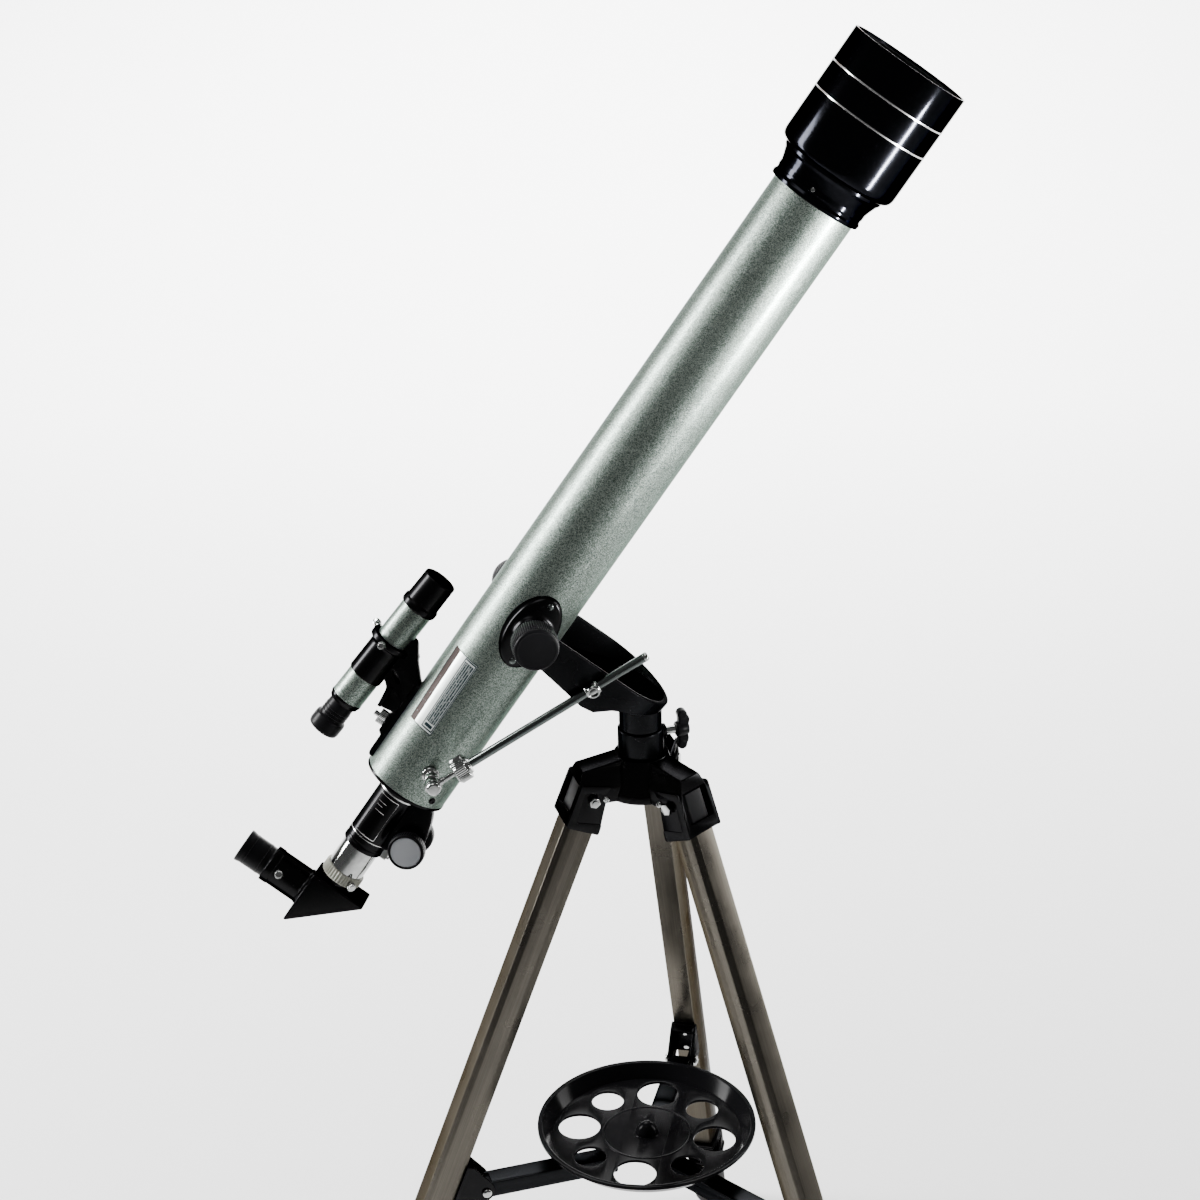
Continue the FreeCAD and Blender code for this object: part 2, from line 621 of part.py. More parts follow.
def make_altitude_knob(node, side):
    inner, outer, radius, axle = D["knob_inner"], D["knob_outer"], D["knob_radius"], D["axle_radius"]
    washer = D["yoke_half"] + 0.15
    profile = [(0, 33), (axle, 33), (axle, washer), (12, washer), (12, inner), (radius - 1, inner),
               (radius, inner + 1), (radius, outer - 2), (radius - 2, outer), (0, outer)]
    turned(node, profile, PIVOT * turn(X_AXIS, -90 * side))


def make_guide_stud():
    """Chrome post on the side of the tube that carries the eye of the slow-motion screw."""
    plane, eye = D["rod_plane"], 2.9
    profile = [(0, D["tube_radius"]), (6, D["tube_radius"]), (6, 34), (4.5, 35), (4.5, plane - eye),
               (3, plane - eye),
               (3, plane + eye), (5, plane + eye), (5, plane + eye + 2), (4, plane + eye + 3.5),
               (0, plane + eye + 3.5)]
    turned("guide_stud", profile, TUBE * shift(0, 0, -D["stud_along"]) * turn(X_AXIS, 90))


def make_guide_screw():
    body = new_body("guide_screw_bar")
    revolve(body, "guide_screw_turning", [(0, 4.5), (2.6, 4.5), (2.6, 8), (D["rod_screw"], 9),
                                          (D["rod_screw"], 95), (0, 95)])
    eye = round_bar("guide_eye_ring", 6, 5, shift(0, 2.5, 0) * turn(X_AXIS, 90))
    hole = round_bar("guide_eye_hole", 3.05, 10, shift(0, 5, 0) * turn(X_AXIS, 90))
    finish(cut("guide_screw", join("guide_screw_joined", [body, eye]), hole), "guide_screw", ROD)


def make_guide_nut():
    bore = D["rod_screw"] + D["pin_gap"]
    radius, start = D["nut_radius"], 19.3
    turned("guide_nut", [(bore, start), (radius - 1, start), (radius, start + 1), (radius, start + 8),
                         (radius - 1, start + 9), (6, start + 9), (6, start + 11), (bore, start + 11)], ROD)


def make_guide_rod():
    bore, radius = D["rod_screw"] + D["pin_gap"], D["rod_radius"]
    end = D["rod_end"]
    turned("guide_rod", [(bore, D["rod_start"]), (radius, D["rod_start"]), (radius, end - 0.8),
                         (radius - 0.8, end),
                         (0, end), (0, end - 30), (bore, end - 30)], ROD)


def make_swivel():
    """Cross-bored pin that grips the rod and stands beside the yoke's near arm."""
    along = D["swivel_along"]
    face = D["rod_plane"] - D["yoke_half"] - 0.4
    bar = round_bar("swivel_bar", D["swivel_radius"], face + 6.5, shift(0, face, along) * turn(X_AXIS, 90))
    hole = round_bar("swivel_hole", D["rod_radius"] + D["pin_gap"], 30, shift(0, 0, along - 15))
    socket = round_bar("swivel_socket", 2.4, 3, shift(0, -4, along) * turn(X_AXIS, 90))
    finish(cut("rod_swivel", bar, join("swivel_cuts", [hole, socket])), "rod_swivel", ROD)


# ---------------------------------------------------------------- main tube and objective
def make_main_tube():
    outer, inner = D["tube_radius"], D["tube_radius"] - D["tube_wall"]
    turned("main_tube", [(inner, -D["tube_rear"]), (outer, -D["tube_rear"]), (outer, D["tube_front"]),
                         (inner, D["tube_front"])], TUBE)


def make_cell():
    """Objective cell: sleeve on the tube's end, flared neck, lens pocket and hood seat."""
    tube, rear, hood = D["tube_radius"], D["neck_rear"], D["hood_rear"]
    pocket_radius, seat = D["lens_radius"], D["lens_rear"]
    profile = [(tube, rear), (tube + 3.1, rear), (tube + 3.1, rear + 2.5), (tube + 2.2, rear + 4),
               (tube + 2.4, rear + 11), (tube + 5.1, rear + 19), (38, hood - 1.4), (38, hood + 4.1),
               (D["hood_radius"] - D["hood_wall"], hood + 4.1),
               (D["hood_radius"] - D["hood_wall"], hood + 24), (37, hood + 24), (37, hood + 12),
               (33, hood + 12),
               (33, hood + 20), (pocket_radius, hood + 20),
               (pocket_radius, seat), (29, seat), (29, D["tube_front"]), (tube, D["tube_front"])]
    turned("objective_cell", profile, TUBE)


def make_lenses():
    """Air-spaced doublet: convex crown in front, flint with a matching hollow behind it."""
    seat, radius = D["lens_rear"], D["lens_radius"]
    back, front = D["crown_back_curve"], D["crown_front_curve"]
    sag_back = back.value - math.sqrt(back.value ** 2 - radius.value ** 2)
    sag_front = front.value - math.sqrt(front.value ** 2 - radius.value ** 2)
    flint_edge = D["flint_centre"] + sag_back
    flint = cut("flint_lens", round_bar("flint_blank", radius, flint_edge, shift(0, 0, seat)),
                ball("flint_hollow", back, shift(0, 0, seat + D["flint_centre"] + back)))
    finish(flint, "flint_lens", TUBE)
    gap = 0.15
    rear_vertex = seat + D["flint_centre"] + gap
    crown_length = sag_back + sag_front + D["crown_edge"]
    crown = common("crown_lens", [
        round_bar("crown_blank", radius, crown_length, shift(0, 0, rear_vertex)),
        ball("crown_back", back, shift(0, 0, rear_vertex + back)),
        ball("crown_front", front, shift(0, 0, rear_vertex + crown_length - front))])
    finish(crown, "crown_lens", TUBE)
    ring = rear_vertex + sag_back + D["crown_edge"]
    turned("lens_ring", [(radius - 2, ring + 0.3), (radius, ring + 0.05), (radius, ring + 4),
                         (radius - 2.5, ring + 4)],
           TUBE)


def make_dew_shield():
    outer, inner = D["hood_radius"], D["hood_radius"] - D["hood_wall"]
    rear, front = D["hood_rear"], D["hood_front"]
    turned("dew_shield", [(38, rear), (outer - 5.4, rear), (outer - 2.7, rear + 0.7),
                          (outer - 0.7, rear + 2.7),
                          (outer, rear + 5.4), (outer, front), (inner, front), (inner, rear + 4.1),
                          (38, rear + 4.1)],
           TUBE)


# ---------------------------------------------------------------- focuser
def make_focuser_body():
    rear, radius, bore = -D["focuser_rear"], D["focuser_radius"], D["draw_radius"] + D["pin_gap"]
    tube, end = D["tube_radius"], -D["tube_rear"]
    body = new_body("focuser_turned")
    revolve(body, "focuser_turning", [(bore, rear), (radius, rear), (radius, end - 3.5),
                                      (tube - 5, end - 2.5),
                                      (tube, end - 1.2), (tube, end), (tube - D["tube_wall"], end),
                                      (tube - D["tube_wall"], end + 16), (tube - 4, end + 16),
                                      (tube - 4, end + 3),
                                      (bore + 3, end + 3), (bore + 3, end + 16), (bore, end + 16)])
    housing = new_body("rack_housing")
    drop, along = D["pinion_drop"], -D["pinion_along"]
    pad(housing, "rack_housing_block", [[(9, end - 2), (25, end - 2), (31, along + 22), (31, along + 12),
                                         (drop + 8.5, along), (22, along - 9), (11, along - 15)]], 18, XZ,
        symmetric=True)
    barrel = round_bar("pinion_barrel", 8.8, 22, shift(drop, 11, along) * turn(X_AXIS, 90))
    bore_cut = round_bar("draw_bore_cut", bore, 120, shift(0, 0, rear - 5))
    slot = block("rack_slot", (12, 2 * (D["rack_half_width"] + 0.35), 150),
                 shift(11, -(D["rack_half_width"] + 0.35), -D["focuser_rear"] - 15))
    cavity = round_bar("pinion_cavity", 8.2, 11, shift(drop, 5.5, along) * turn(X_AXIS, 90))
    shaft = round_bar("pinion_shaft_bore", D["shaft_radius"] + D["pin_gap"], 60,
                      shift(drop, 30, along) * turn(X_AXIS, 90))
    solid = join("focuser_solid", [body, housing, barrel])
    finish(cut("focuser_body", solid, join("focuser_cuts", [bore_cut, slot, cavity, shaft])),
           "focuser_body",
           ACCESSORY)


def make_drawtube():
    """Chrome drawtube with its toothed rack along the underside."""
    rear, front = -D["draw_rear"], -D["draw_front"]
    body = new_body("draw_turned")
    revolve(body, "draw_turning", [(D["draw_bore"], rear), (D["draw_radius"], rear),
                                   (D["draw_radius"], front),
                                   (D["draw_bore"], front)])
    rack = new_body("draw_rack")
    pitch = D["pinion_pitch"] * (2 * math.pi) / D["pinion_teeth"]
    pitch_line = D["pinion_drop"] - D["pinion_pitch"]
    root, crest = pitch_line - 1.1, pitch_line + 0.7
    rack_rear = -D["focuser_rear"] + 0.5
    pad(rack, "rack_bar", [[(12.7, rack_rear), (root, rack_rear), (root, front), (12.7, front)]],
        D["rack_half_width"] * 2, XZ, symmetric=True)
    centre = -D["pinion_along"] - pitch * 7
    tooth = pad(rack, "rack_tooth", [[(root - 0.2, centre - 0.72), (crest, centre - 0.32),
                                      (crest, centre + 0.32), (root - 0.2, centre + 0.72)]],
                D["rack_half_width"] * 2, XZ, symmetric=True)
    row = rack.newObject("PartDesign::LinearPattern", "rack_teeth")
    row.Originals = [tooth]
    row.Direction = (new_axis(rack), [""])
    row.Mode = "Spacing"
    bind(row, "Offset", pitch)
    row.Occurrences = 28
    rack.Tip = row
    finish(join("drawtube", [body, rack]), "drawtube", ACCESSORY)


def make_pinion():
    body = new_body("focus_pinion")
    revolve(body, "pinion_turning", [(0, -20), (D["shaft_radius"], -20), (D["shaft_radius"], -5),
                                     (6.0, -5), (6.0, 5),
                                     (D["shaft_radius"], 5), (D["shaft_radius"], 20), (0, 20)])
    pitch = D["pinion_pitch"]
    tooth = pad(body, "pinion_tooth", [[(5.6, -0.82), (pitch, -0.5), (pitch + 0.6, -0.3),
                                        (pitch + 0.6, 0.3),
                                        (pitch, 0.5), (5.6, 0.82)]], 9, XY, symmetric=True)
    ring_pattern(body, "pinion_teeth_ring", [tooth], D["pinion_teeth"].value)
    half_tooth = 180 / D["pinion_teeth"].value
    place = ACCESSORY * shift(D["pinion_drop"], 0, -D["pinion_along"]) * turn(X_AXIS, 90)
    finish(body, "focus_pinion", place * turn(Z_AXIS, half_tooth))


def make_focus_knobs():
    knobs = []
    inner, outer, radius = D["focus_knob_inner"], D["focus_knob_outer"], D["focus_knob"]
    for side, name in ((-1, "near_focus_knob"), (1, "far_focus_knob")):
        body = new_body(name)
        revolve(body, name + "_turning", [
            (D["shaft_radius"], 11.3), (6, 11.3), (6, inner), (radius - 1.5, inner), (radius, inner + 1.5),
            (radius, outer - 1), (radius - 1, outer), (radius - 2.2, outer), (radius - 2.2, outer - 0.6),
            (0, outer - 0.6), (0, 20), (D["shaft_radius"], 20)])
        body.Placement = turn(X_AXIS, -90 * side)
        knobs.append(body)
    finish(join("focus_knobs", knobs), "focus_knobs",
           ACCESSORY * shift(D["pinion_drop"], 0, -D["pinion_along"]))


def make_draw_ring():
    """Knurled end ring that holds the diagonal's barrel in the drawtube."""
    rear, front, radius = -D["ring_rear"], -D["draw_rear"], D["ring_radius"]
    bore = D["barrel_radius"] + D["pin_gap"]
    ring = new_body("draw_ring_turned")
    revolve(ring, "draw_ring_turning", [(bore, rear), (radius - 0.5, rear), (radius, rear + 0.5),
                                        (radius, front - 0.6), (radius - 0.6, front), (bore, front)])
    hole = round_bar("draw_screw_bore", 1.5 + 0.05, 30, ring_screw_place())
    finish(cut("drawtube_ring", ring, hole), "drawtube_ring", ACCESSORY)


def ring_screw_place():
    """Radial direction of the ring's thumb screw, in the accessory frame."""
    middle = (D["ring_rear"] + D["draw_rear"]) / 2
    return shift(0, 0, -middle) * turn(Z_AXIS, -56) * turn(Y_AXIS, 90)


def make_thumb_screw(node, tip, head, place):
    turned(node, [(0, tip), (1.5, tip), (1.5, head), (2.4, head), (3.2, head + 1.2), (3.2, head + 3.6),
                  (2.2, head + 5), (0, head + 5)], place)


# ---------------------------------------------------------------- diagonal and eyepiece
def make_diagonal():
    near, far, face = -D["diagonal_near"], D["diagonal_far"], -D["diagonal_face"]
    reach = D["diagonal_near"] + D["diagonal_far"]
    shell = new_body("diagonal_shell")
    pad(shell, "diagonal_wedge", [[(near, face), (far, face), (near, face - reach)]],
        D["diagonal_half"] * 2, XZ,
        symmetric=True)
    inset = 2.4
    pocket(shell, "diagonal_cavity", [[(near + inset, face - inset), (far - inset * 2.5, face - inset),
                                       (near + inset, face - reach + inset * 2.5)]], [], 22.6)
    nose = round_bar("diagonal_nose", D["barrel_radius"], 25, shift(0, 0, face))
    holder = round_bar("diagonal_holder", D["holder_radius"], D["holder_end"] - D["diagonal_near"],
                       shift(near, 0, -D["optical_turn"]) * turn(Y_AXIS, -90))
    collar = round_bar("diagonal_collar", D["holder_radius"] + 0.5, 6,
                       shift(-D["holder_end"] + 6, 0, -D["optical_turn"]) * turn(Y_AXIS, -90))
    light_in = round_bar("diagonal_light_in", 11, 40, shift(0, 0, face - inset - 0.5))
    light_out = round_bar("diagonal_light_out", 11, 10, shift(near + inset + 0.5, 0, -D["optical_turn"])
                          * turn(Y_AXIS, -90))
    seat = round_bar("diagonal_seat", D["barrel_radius"] + D["pin_gap"], 40,
                     shift(near - 2, 0, -D["optical_turn"]) * turn(Y_AXIS, -90))
    screw = round_bar("diagonal_screw_bore", 1.5 + 0.05, 30, holder_screw_place())
    solid = join("diagonal_solid", [shell, nose, holder, collar])
    cuts = join("diagonal_cuts", [light_in, light_out, seat, screw])
    finish(cut("diagonal_housing", solid, cuts), "diagonal_housing", ACCESSORY)


def holder_screw_place():
    """Radial direction of the eyepiece screw, in the accessory frame."""
    return shift(-D["holder_end"] + 11, 0, -D["optical_turn"]) * turn(X_AXIS, 78) * shift(0, 0, 0)


def make_prism():
    """Right-angle prism whose long face turns the light through 90 degrees."""
    body = new_body("diagonal_prism")
    face, turn_line = -D["diagonal_face"] - 2.8, -D["optical_turn"]
    left = -D["diagonal_near"] + 2.8
    pad(body, "prism_wedge", [[(left, face), (face - turn_line, face), (left, turn_line + left)]], 21.6, XZ,
        symmetric=True)
    finish(body, "diagonal_prism", ACCESSORY)


def make_eyepiece():
    seat, top, barrel = D["holder_end"], D["eyepiece_end"], D["barrel_radius"]
    profile = [(10.6, 21), (barrel, 21), (barrel, seat), (11.8, seat + 0.4), (12.1, top - 4),
               (12.7, top - 1.5),
               (12.7, top), (10.4, top), (5.5, top - 3.5), (0, top - 3.5), (0, top - 6), (8, top - 6),
               (8, seat - 4),
               (10.6, seat - 4)]
    turned("eyepiece", profile, ACCESSORY * shift(0, 0, -D["optical_turn"]) * turn(Y_AXIS, -90))


# ---------------------------------------------------------------- finder
def make_finder_tube():
    hood, ring, radius, length = D["finder_hood"], D["finder_ring"], D["finder_radius"], D["finder_length"]
    inner, eye = D["finder_radius"] - D["finder_wall"], D["finder_eye"] + D["pin_gap"]
    profile = [(hood - 0.9, 0), (hood, 0), (hood + 0.3, -21.5), (ring, -22.2), (ring, -27), (radius, -27.4),
               (radius, -length + 4), (radius - 0.7, -length + 3), (radius - 0.7, -length), (eye, -length),
               (eye, -length + 10), (inner, -length + 10), (inner, -24)]
    turned("finder_tube", profile, FINDER)


def make_finder_eyepiece():
    eye, end = D["finder_eye"], -D["finder_end"]
    turned("finder_eyepiece", [(8, -107), (eye, -107), (eye, end + 11.5), (11.2, end + 11.2),
                               (11.6, end + 10), (11.6, end + 1),
                               (10.8, end), (6.5, end), (5.5, end + 3), (0, end + 3), (0, end + 5),
                               (8, end + 5)], FINDER)


def make_finder_bracket():
    """Saddle rail on the tube, leaning stem, and the sleeve that holds the finder."""
    tube, sleeve = D["tube_radius"], D["sleeve_radius"]
    sleeve_body = new_body("finder_sleeve")
    revolve(sleeve_body, "finder_sleeve_turning", [(D["finder_radius"], -90), (sleeve, -90),
                                                   (sleeve, -61.5), (D["sleeve_flange"], -60.5),
                                                   (D["sleeve_flange"], -56.8),
                                                   (D["finder_radius"], -56.8)])
    in_accessory = shift(-D["finder_lift"], 0, -D["finder_front"]) * turn(Y_AXIS, D["finder_tilt"])
    sleeve_body.Placement = in_accessory
    stem = new_body("finder_stem")
    pad(stem, "finder_stem_web", [[(-(tube - 4), -86), (-(tube - 4), -114), (-37, -114), (-45, -116),
                                   (-48.5, -115.5),
                                   (-50, -101), (-62, -96), (-64, -74), (-50, -76)]], 13, XZ,
                                   symmetric=True)
    rail = new_body("finder_rail")
    pad(rail, "finder_rail_bar", [[(-(tube - 4), -88), (-(tube - 4), -150), (-(tube + 2.5), -150),
                                   (-(tube + 3.2), -132), (-(tube + 6.5), -130), (-(tube + 6.5), -117),
                                   (-(tube + 3.2), -114),
                                   (-(tube + 2.5), -88)]], 16, XZ, symmetric=True)
    saddle = round_bar("finder_saddle", tube, 200, shift(0, 0, -200))
    bore = round_bar("finder_bore", D["finder_radius"] + 0.4, 60, in_accessory * shift(0, 0, -100))
    eye = round_bar("stem_window", 3.2, 30, shift(-49, 15, -88) * turn(X_AXIS, 90))
    foot = cut("finder_bracket_foot", join("finder_bracket_stand", [stem, rail]),
               join("finder_bracket_cuts", [saddle, bore, eye]))
    screws = [round_bar("finder_screw_bore_%d" % index, 1.3, 8, in_accessory * place)
              for index, place in enumerate(finder_screw_places(), start=1)]
    finish(cut("finder_bracket", join("finder_bracket_solid", [sleeve_body, foot]),
               join("finder_screw_bores", screws)), "finder_bracket", ACCESSORY)


def finder_screw_places():
    """Three adjusting screws around the flange, in the finder's frame, along their own local Z."""
    start = D["finder_radius"]
    return [shift(0, 0, -58.7) * turn(Z_AXIS, angle) * turn(Y_AXIS, 90) * shift(0, 0,
        start) for angle in (140, 260, 20)]


def make_finder_screws():
    screws = []
    for index, place in enumerate(finder_screw_places(), start=1):
        body = new_body("finder_screw_%d" % index)
        revolve(body, "finder_screw_turning_%d" % index, [(0, 0.1), (1.3, 0.1), (1.3, 7), (2.2, 7),
                                                          (2.8, 8), (2.8, 11),
                                                         (2.2, 12), (0, 12)])
        body.Placement = place
        screws.append(body)
    finish(join("finder_screws", screws), "finder_screws", FINDER)


# ---------------------------------------------------------------- assembly
make_hub()
make_hinge_bolts()
for number in (1, 2, 3):
    make_leg(number)
    make_lower_leg(number)
    make_foot(number)
    make_clamp(number)
    make_leg_screw(number)
    make_bracket(number)
    make_brace_pin(number)
    make_brace_arm(number)
make_brace_plate()
make_tray()
make_tray_knob()
make_yoke()
make_azimuth_knob()
make_pivot_plates()
make_plate_screws()
make_altitude_knob("altitude_knob_near", -1)
make_altitude_knob("altitude_knob_far", 1)
make_guide_stud()
make_guide_screw()
make_guide_nut()
make_guide_rod()
make_swivel()
make_main_tube()
make_cell()
make_lenses()
make_dew_shield()
make_focuser_body()
make_drawtube()
make_pinion()
make_focus_knobs()
make_draw_ring()
make_thumb_screw("drawtube_screw", D["barrel_radius"] + 0.35, D["ring_radius"] + 1.2,
                 ACCESSORY * ring_screw_place())
make_diagonal()
make_prism()
make_eyepiece()
make_thumb_screw("eyepiece_screw", D["barrel_radius"] + 0.35, D["holder_radius"] + 1.2,
                 ACCESSORY * holder_screw_place())
make_finder_tube()
make_finder_eyepiece()
make_finder_bracket()
make_finder_screws()
doc.recompute()

for thing in doc.Objects:
    if "Invalid" in thing.State or "Error" in thing.State:
        raise RuntimeError("failed feature: %s %s" % (thing.Name, thing.State))
for part in NODES:
    if part.Shape.isNull() or not part.Shape.isValid() or not part.Shape.Solids:
        raise RuntimeError("bad shape: %s" % part.Label)

os.makedirs("parts", exist_ok=True)
for part in NODES:
    part.Shape.exportStep("parts/%s.step" % part.Label)
    print("%-22s solids %d  volume %.0f" % (part.Label, len(part.Shape.Solids), part.Shape.Volume))
print("%d nodes" % len(NODES))
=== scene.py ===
import json
import math

import bmesh
import bpy
from mathutils import Matrix, Quaternion, Vector


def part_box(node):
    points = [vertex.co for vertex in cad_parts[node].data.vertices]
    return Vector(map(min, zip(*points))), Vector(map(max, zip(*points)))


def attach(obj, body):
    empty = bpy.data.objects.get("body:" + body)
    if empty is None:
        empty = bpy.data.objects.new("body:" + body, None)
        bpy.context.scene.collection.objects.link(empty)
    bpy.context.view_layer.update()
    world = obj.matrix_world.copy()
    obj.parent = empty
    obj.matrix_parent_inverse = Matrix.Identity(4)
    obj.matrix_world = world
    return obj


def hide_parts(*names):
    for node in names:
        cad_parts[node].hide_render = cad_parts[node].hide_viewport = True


# Looks of a refractor telescope on a yoke mount and tripod. Lengths in the code are millimetres in
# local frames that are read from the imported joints; meshes are written in metres.

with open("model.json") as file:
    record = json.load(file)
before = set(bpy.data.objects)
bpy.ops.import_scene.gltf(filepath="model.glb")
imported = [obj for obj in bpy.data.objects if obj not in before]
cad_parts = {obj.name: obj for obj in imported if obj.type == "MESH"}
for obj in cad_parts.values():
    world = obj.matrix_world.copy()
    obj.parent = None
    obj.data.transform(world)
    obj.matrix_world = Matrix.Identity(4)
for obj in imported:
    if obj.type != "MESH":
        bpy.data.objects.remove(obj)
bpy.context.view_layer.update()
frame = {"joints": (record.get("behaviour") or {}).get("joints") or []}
JOINTS = {joint["name"]: joint for joint in frame["joints"]}
MM = 0.001


# ---------------------------------------------------------------- frames
def frame_at(origin, z_axis, y_axis):
    """Matrix of a local frame from its origin in metres, its Z and the direction nearest its Y."""
    z = Vector(z_axis).normalized()
    x = Vector(y_axis).cross(z).normalized()
    y = z.cross(x)
    matrix = Matrix((x, y, z)).transposed().to_4x4()
    matrix.translation = Vector(origin)
    return matrix


def joint_pos(name):
    return Vector(JOINTS[name]["pos_m"])


def joint_axis(name):
    return Vector(JOINTS[name]["axis"])


def shift(x=0, y=0, z=0):
    return Matrix.Translation(Vector((x, y, z)) * MM)


def turn(axis, degrees):
    return Matrix.Rotation(math.radians(degrees), 4, axis)


PIVOT = joint_pos("altitude")
AXIS_XY = joint_pos("azimuth")
FORWARD = -joint_axis("draw_slide")                      # along the tube, towards the sky
TUBE = frame_at(PIVOT, FORWARD, (0, 1, 0))
ACC = frame_at(PIVOT, FORWARD, FORWARD.cross(-joint_axis("eyepiece_slide")))
FINDER_SPOT = (-61.8, 0, -14.6)                          # the finder's front rim in the frame ACC
FINDER = frame_at(ACC @ (Vector(FINDER_SPOT) * MM), -joint_axis("finder_focus"),
                  ACC.to_3x3() @ Vector((0, 1, 0)))
YOKE_SLOPE = 40.5
YOKE = Matrix.Translation(PIVOT) @ turn("Y", YOKE_SLOPE)
ROD = frame_at(joint_pos("guide_pivot"), joint_axis("rod_extension"), (0, 1, 0))
HINGE_Z = joint_pos("leg_1_fold").z / MM
STAND = shift(AXIS_XY.x / MM, AXIS_XY.y / MM, 0)
SPINS = [math.degrees(math.atan2(*(joint_pos("leg_%d_fold" % k) - AXIS_XY).yx)) for k in (1, 2, 3)]
PLATE_RISE, TRAY_TURN = 8.7, -109.4                      # tray floor over the plate's foot; turn of its holes
HUB = STAND @ turn("Z", SPINS[0]) @ shift(0, 0, HINGE_Z)
TRAY_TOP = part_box("brace_plate")[0].z / MM + PLATE_RISE
TRAY = STAND @ turn("Z", TRAY_TURN) @ shift(0, 0, TRAY_TOP)
LEGS = [frame_at(joint_pos("leg_%d_fold" % k), -joint_axis("leg_%d_extend" % k),
                 joint_axis("leg_%d_fold" % k)) for k in (1, 2, 3)]
BRACES = [Matrix.Translation(joint_pos("brace_%d_fold" % k)) @ turn("Z", SPINS[k - 1] + 180)
          for k in (1, 2, 3)]
UP_FROM_SIDE = turn("X", 90)           # local Z of a turned piece towards the camera side (-Y)
AWAY_FROM_SIDE = turn("X", -90)        # local Z towards the far side (+Y)
OUTWARD = turn("Y", 90)                # local Z towards +X


# ---------------------------------------------------------------- outlines
def rounded(points, radius, steps=4, closed=True):
    """Cuts each corner of an outline with a small curve."""
    result = []
    count = len(points)
    for index, point in enumerate(points):
        here = Vector(point[:2])
        if not closed and index in (0, count - 1):
            result.append(tuple(here))
            continue
        size = point[2] if len(point) > 2 else radius
        back = Vector(points[index - 1][:2]) - here
        ahead = Vector(points[(index + 1) % count][:2]) - here
        if size <= 0 or back.length < 1e-6 or ahead.length < 1e-6:
            result.append(tuple(here))
            continue
        reach = min(size, back.length * 0.45, ahead.length * 0.45)
        start, end = here + back.normalized() * reach, here + ahead.normalized() * reach
        for step in range(steps + 1):
            t = step / steps
            spot = start * (1 - t) ** 2 + here * 2 * t * (1 - t) + end * t * t
            result.append(tuple(spot))
    return result


def circle(radius, count=48, centre=(0, 0)):
    angles = [2 * math.pi * i / count for i in range(count)]
    return [(centre[0] + radius * math.cos(a), centre[1] + radius * math.sin(a)) for a in angles]


# ---------------------------------------------------------------- mesh makers
def lathe(profile, segments=96, soft=0.4, closed=None, wave=None):
    """Vertices and faces of a turned shape from (radius, height) points; wave(r, z, angle) may change r."""
    on_axis = profile[0][0] < 1e-6 and profile[-1][0] < 1e-6
    loop = not on_axis if closed is None else closed
    outline = rounded(profile, soft, 3, loop) if soft else [tuple(p[:2]) for p in profile]
    verts, rings = [], []
    for radius, height in outline:
        if radius < 1e-5:
            rings.append([len(verts)])
            verts.append((0, 0, height))
            continue
        ring = []
        for index in range(segments):
            angle = 2 * math.pi * index / segments
            reach = wave(radius, height, angle) if wave else radius
            ring.append(len(verts))
            verts.append((reach * math.cos(angle), reach * math.sin(angle), height))
        rings.append(ring)
    faces = []
    pairs = list(zip(rings, rings[1:])) + ([(rings[-1], rings[0])] if loop else [])
    for low, high in pairs:
        for index in range(segments):
            following = (index + 1) % segments
            if len(low) == 1 and len(high) == 1:
                continue
            if len(low) == 1:
                faces.append((low[0], high[following], high[index]))
            elif len(high) == 1:
                faces.append((low[index], low[following], high[0]))
            else:
                faces.append((low[index], low[following], high[following], high[index]))
    return verts, faces


def place_mesh(data, matrix):
    """The same shape moved by a matrix whose translation is in metres."""
    verts, faces = data
    return [tuple((matrix @ (Vector(v) * MM)) / MM) for v in verts], faces


def merge(*parts):
    verts, faces = [], []
    for part_verts, part_faces in parts:
        base = len(verts)
        verts.extend(part_verts)
        faces.extend(tuple(i + base for i in face) for face in part_faces)
    return verts, faces


def shape_of(mesh):
    """Vertices and faces of a mesh that is no longer needed."""
    made = [tuple(v.co) for v in mesh.vertices], [tuple(p.vertices) for p in mesh.polygons]
    bpy.data.meshes.remove(mesh)
    return made


def mesh_of(name, data):
    mesh = bpy.data.meshes.new(name)
    mesh.from_pydata([Vector(v) for v in data[0]], [], data[1])
    mesh.validate()
    return mesh


def linked(name, data):
    """A new object in the scene around a mesh, lamp or camera."""
    thing = bpy.data.objects.new(name, data)
    bpy.context.collection.objects.link(thing)
    return thing


def weld(mesh, gap=1e-6):
    """Joins doubled points and turns all faces outward."""
    work = bmesh.new()
    work.from_mesh(mesh)
    bmesh.ops.remove_doubles(work, verts=work.verts, dist=gap)
    bmesh.ops.recalc_face_normals(work, faces=work.faces)
    work.to_mesh(mesh)
    work.free()


def applied(thing, *helpers):
    """The shape of a working object with its modifiers applied; it and its helpers are removed."""
    bpy.context.view_layer.update()
    graph = bpy.context.evaluated_depsgraph_get()
    made = shape_of(bpy.data.meshes.new_from_object(thing.evaluated_get(graph)))
    for spent in (thing, *helpers):
        bpy.data.objects.remove(spent)
    return made


def ring_faces(rings, size):
    """Faces of a closed skin over equal rings of points, with both ends capped."""
    faces = []
    for level in range(rings - 1):
        low, high = level * size, (level + 1) * size
        for index in range(size):
            following = (index + 1) % size
            faces.append((low + index, low + following, high + following, high + index))
    faces.append(tuple(reversed(range(size))))
    faces.append(tuple(range((rings - 1) * size, rings * size)))
    return faces


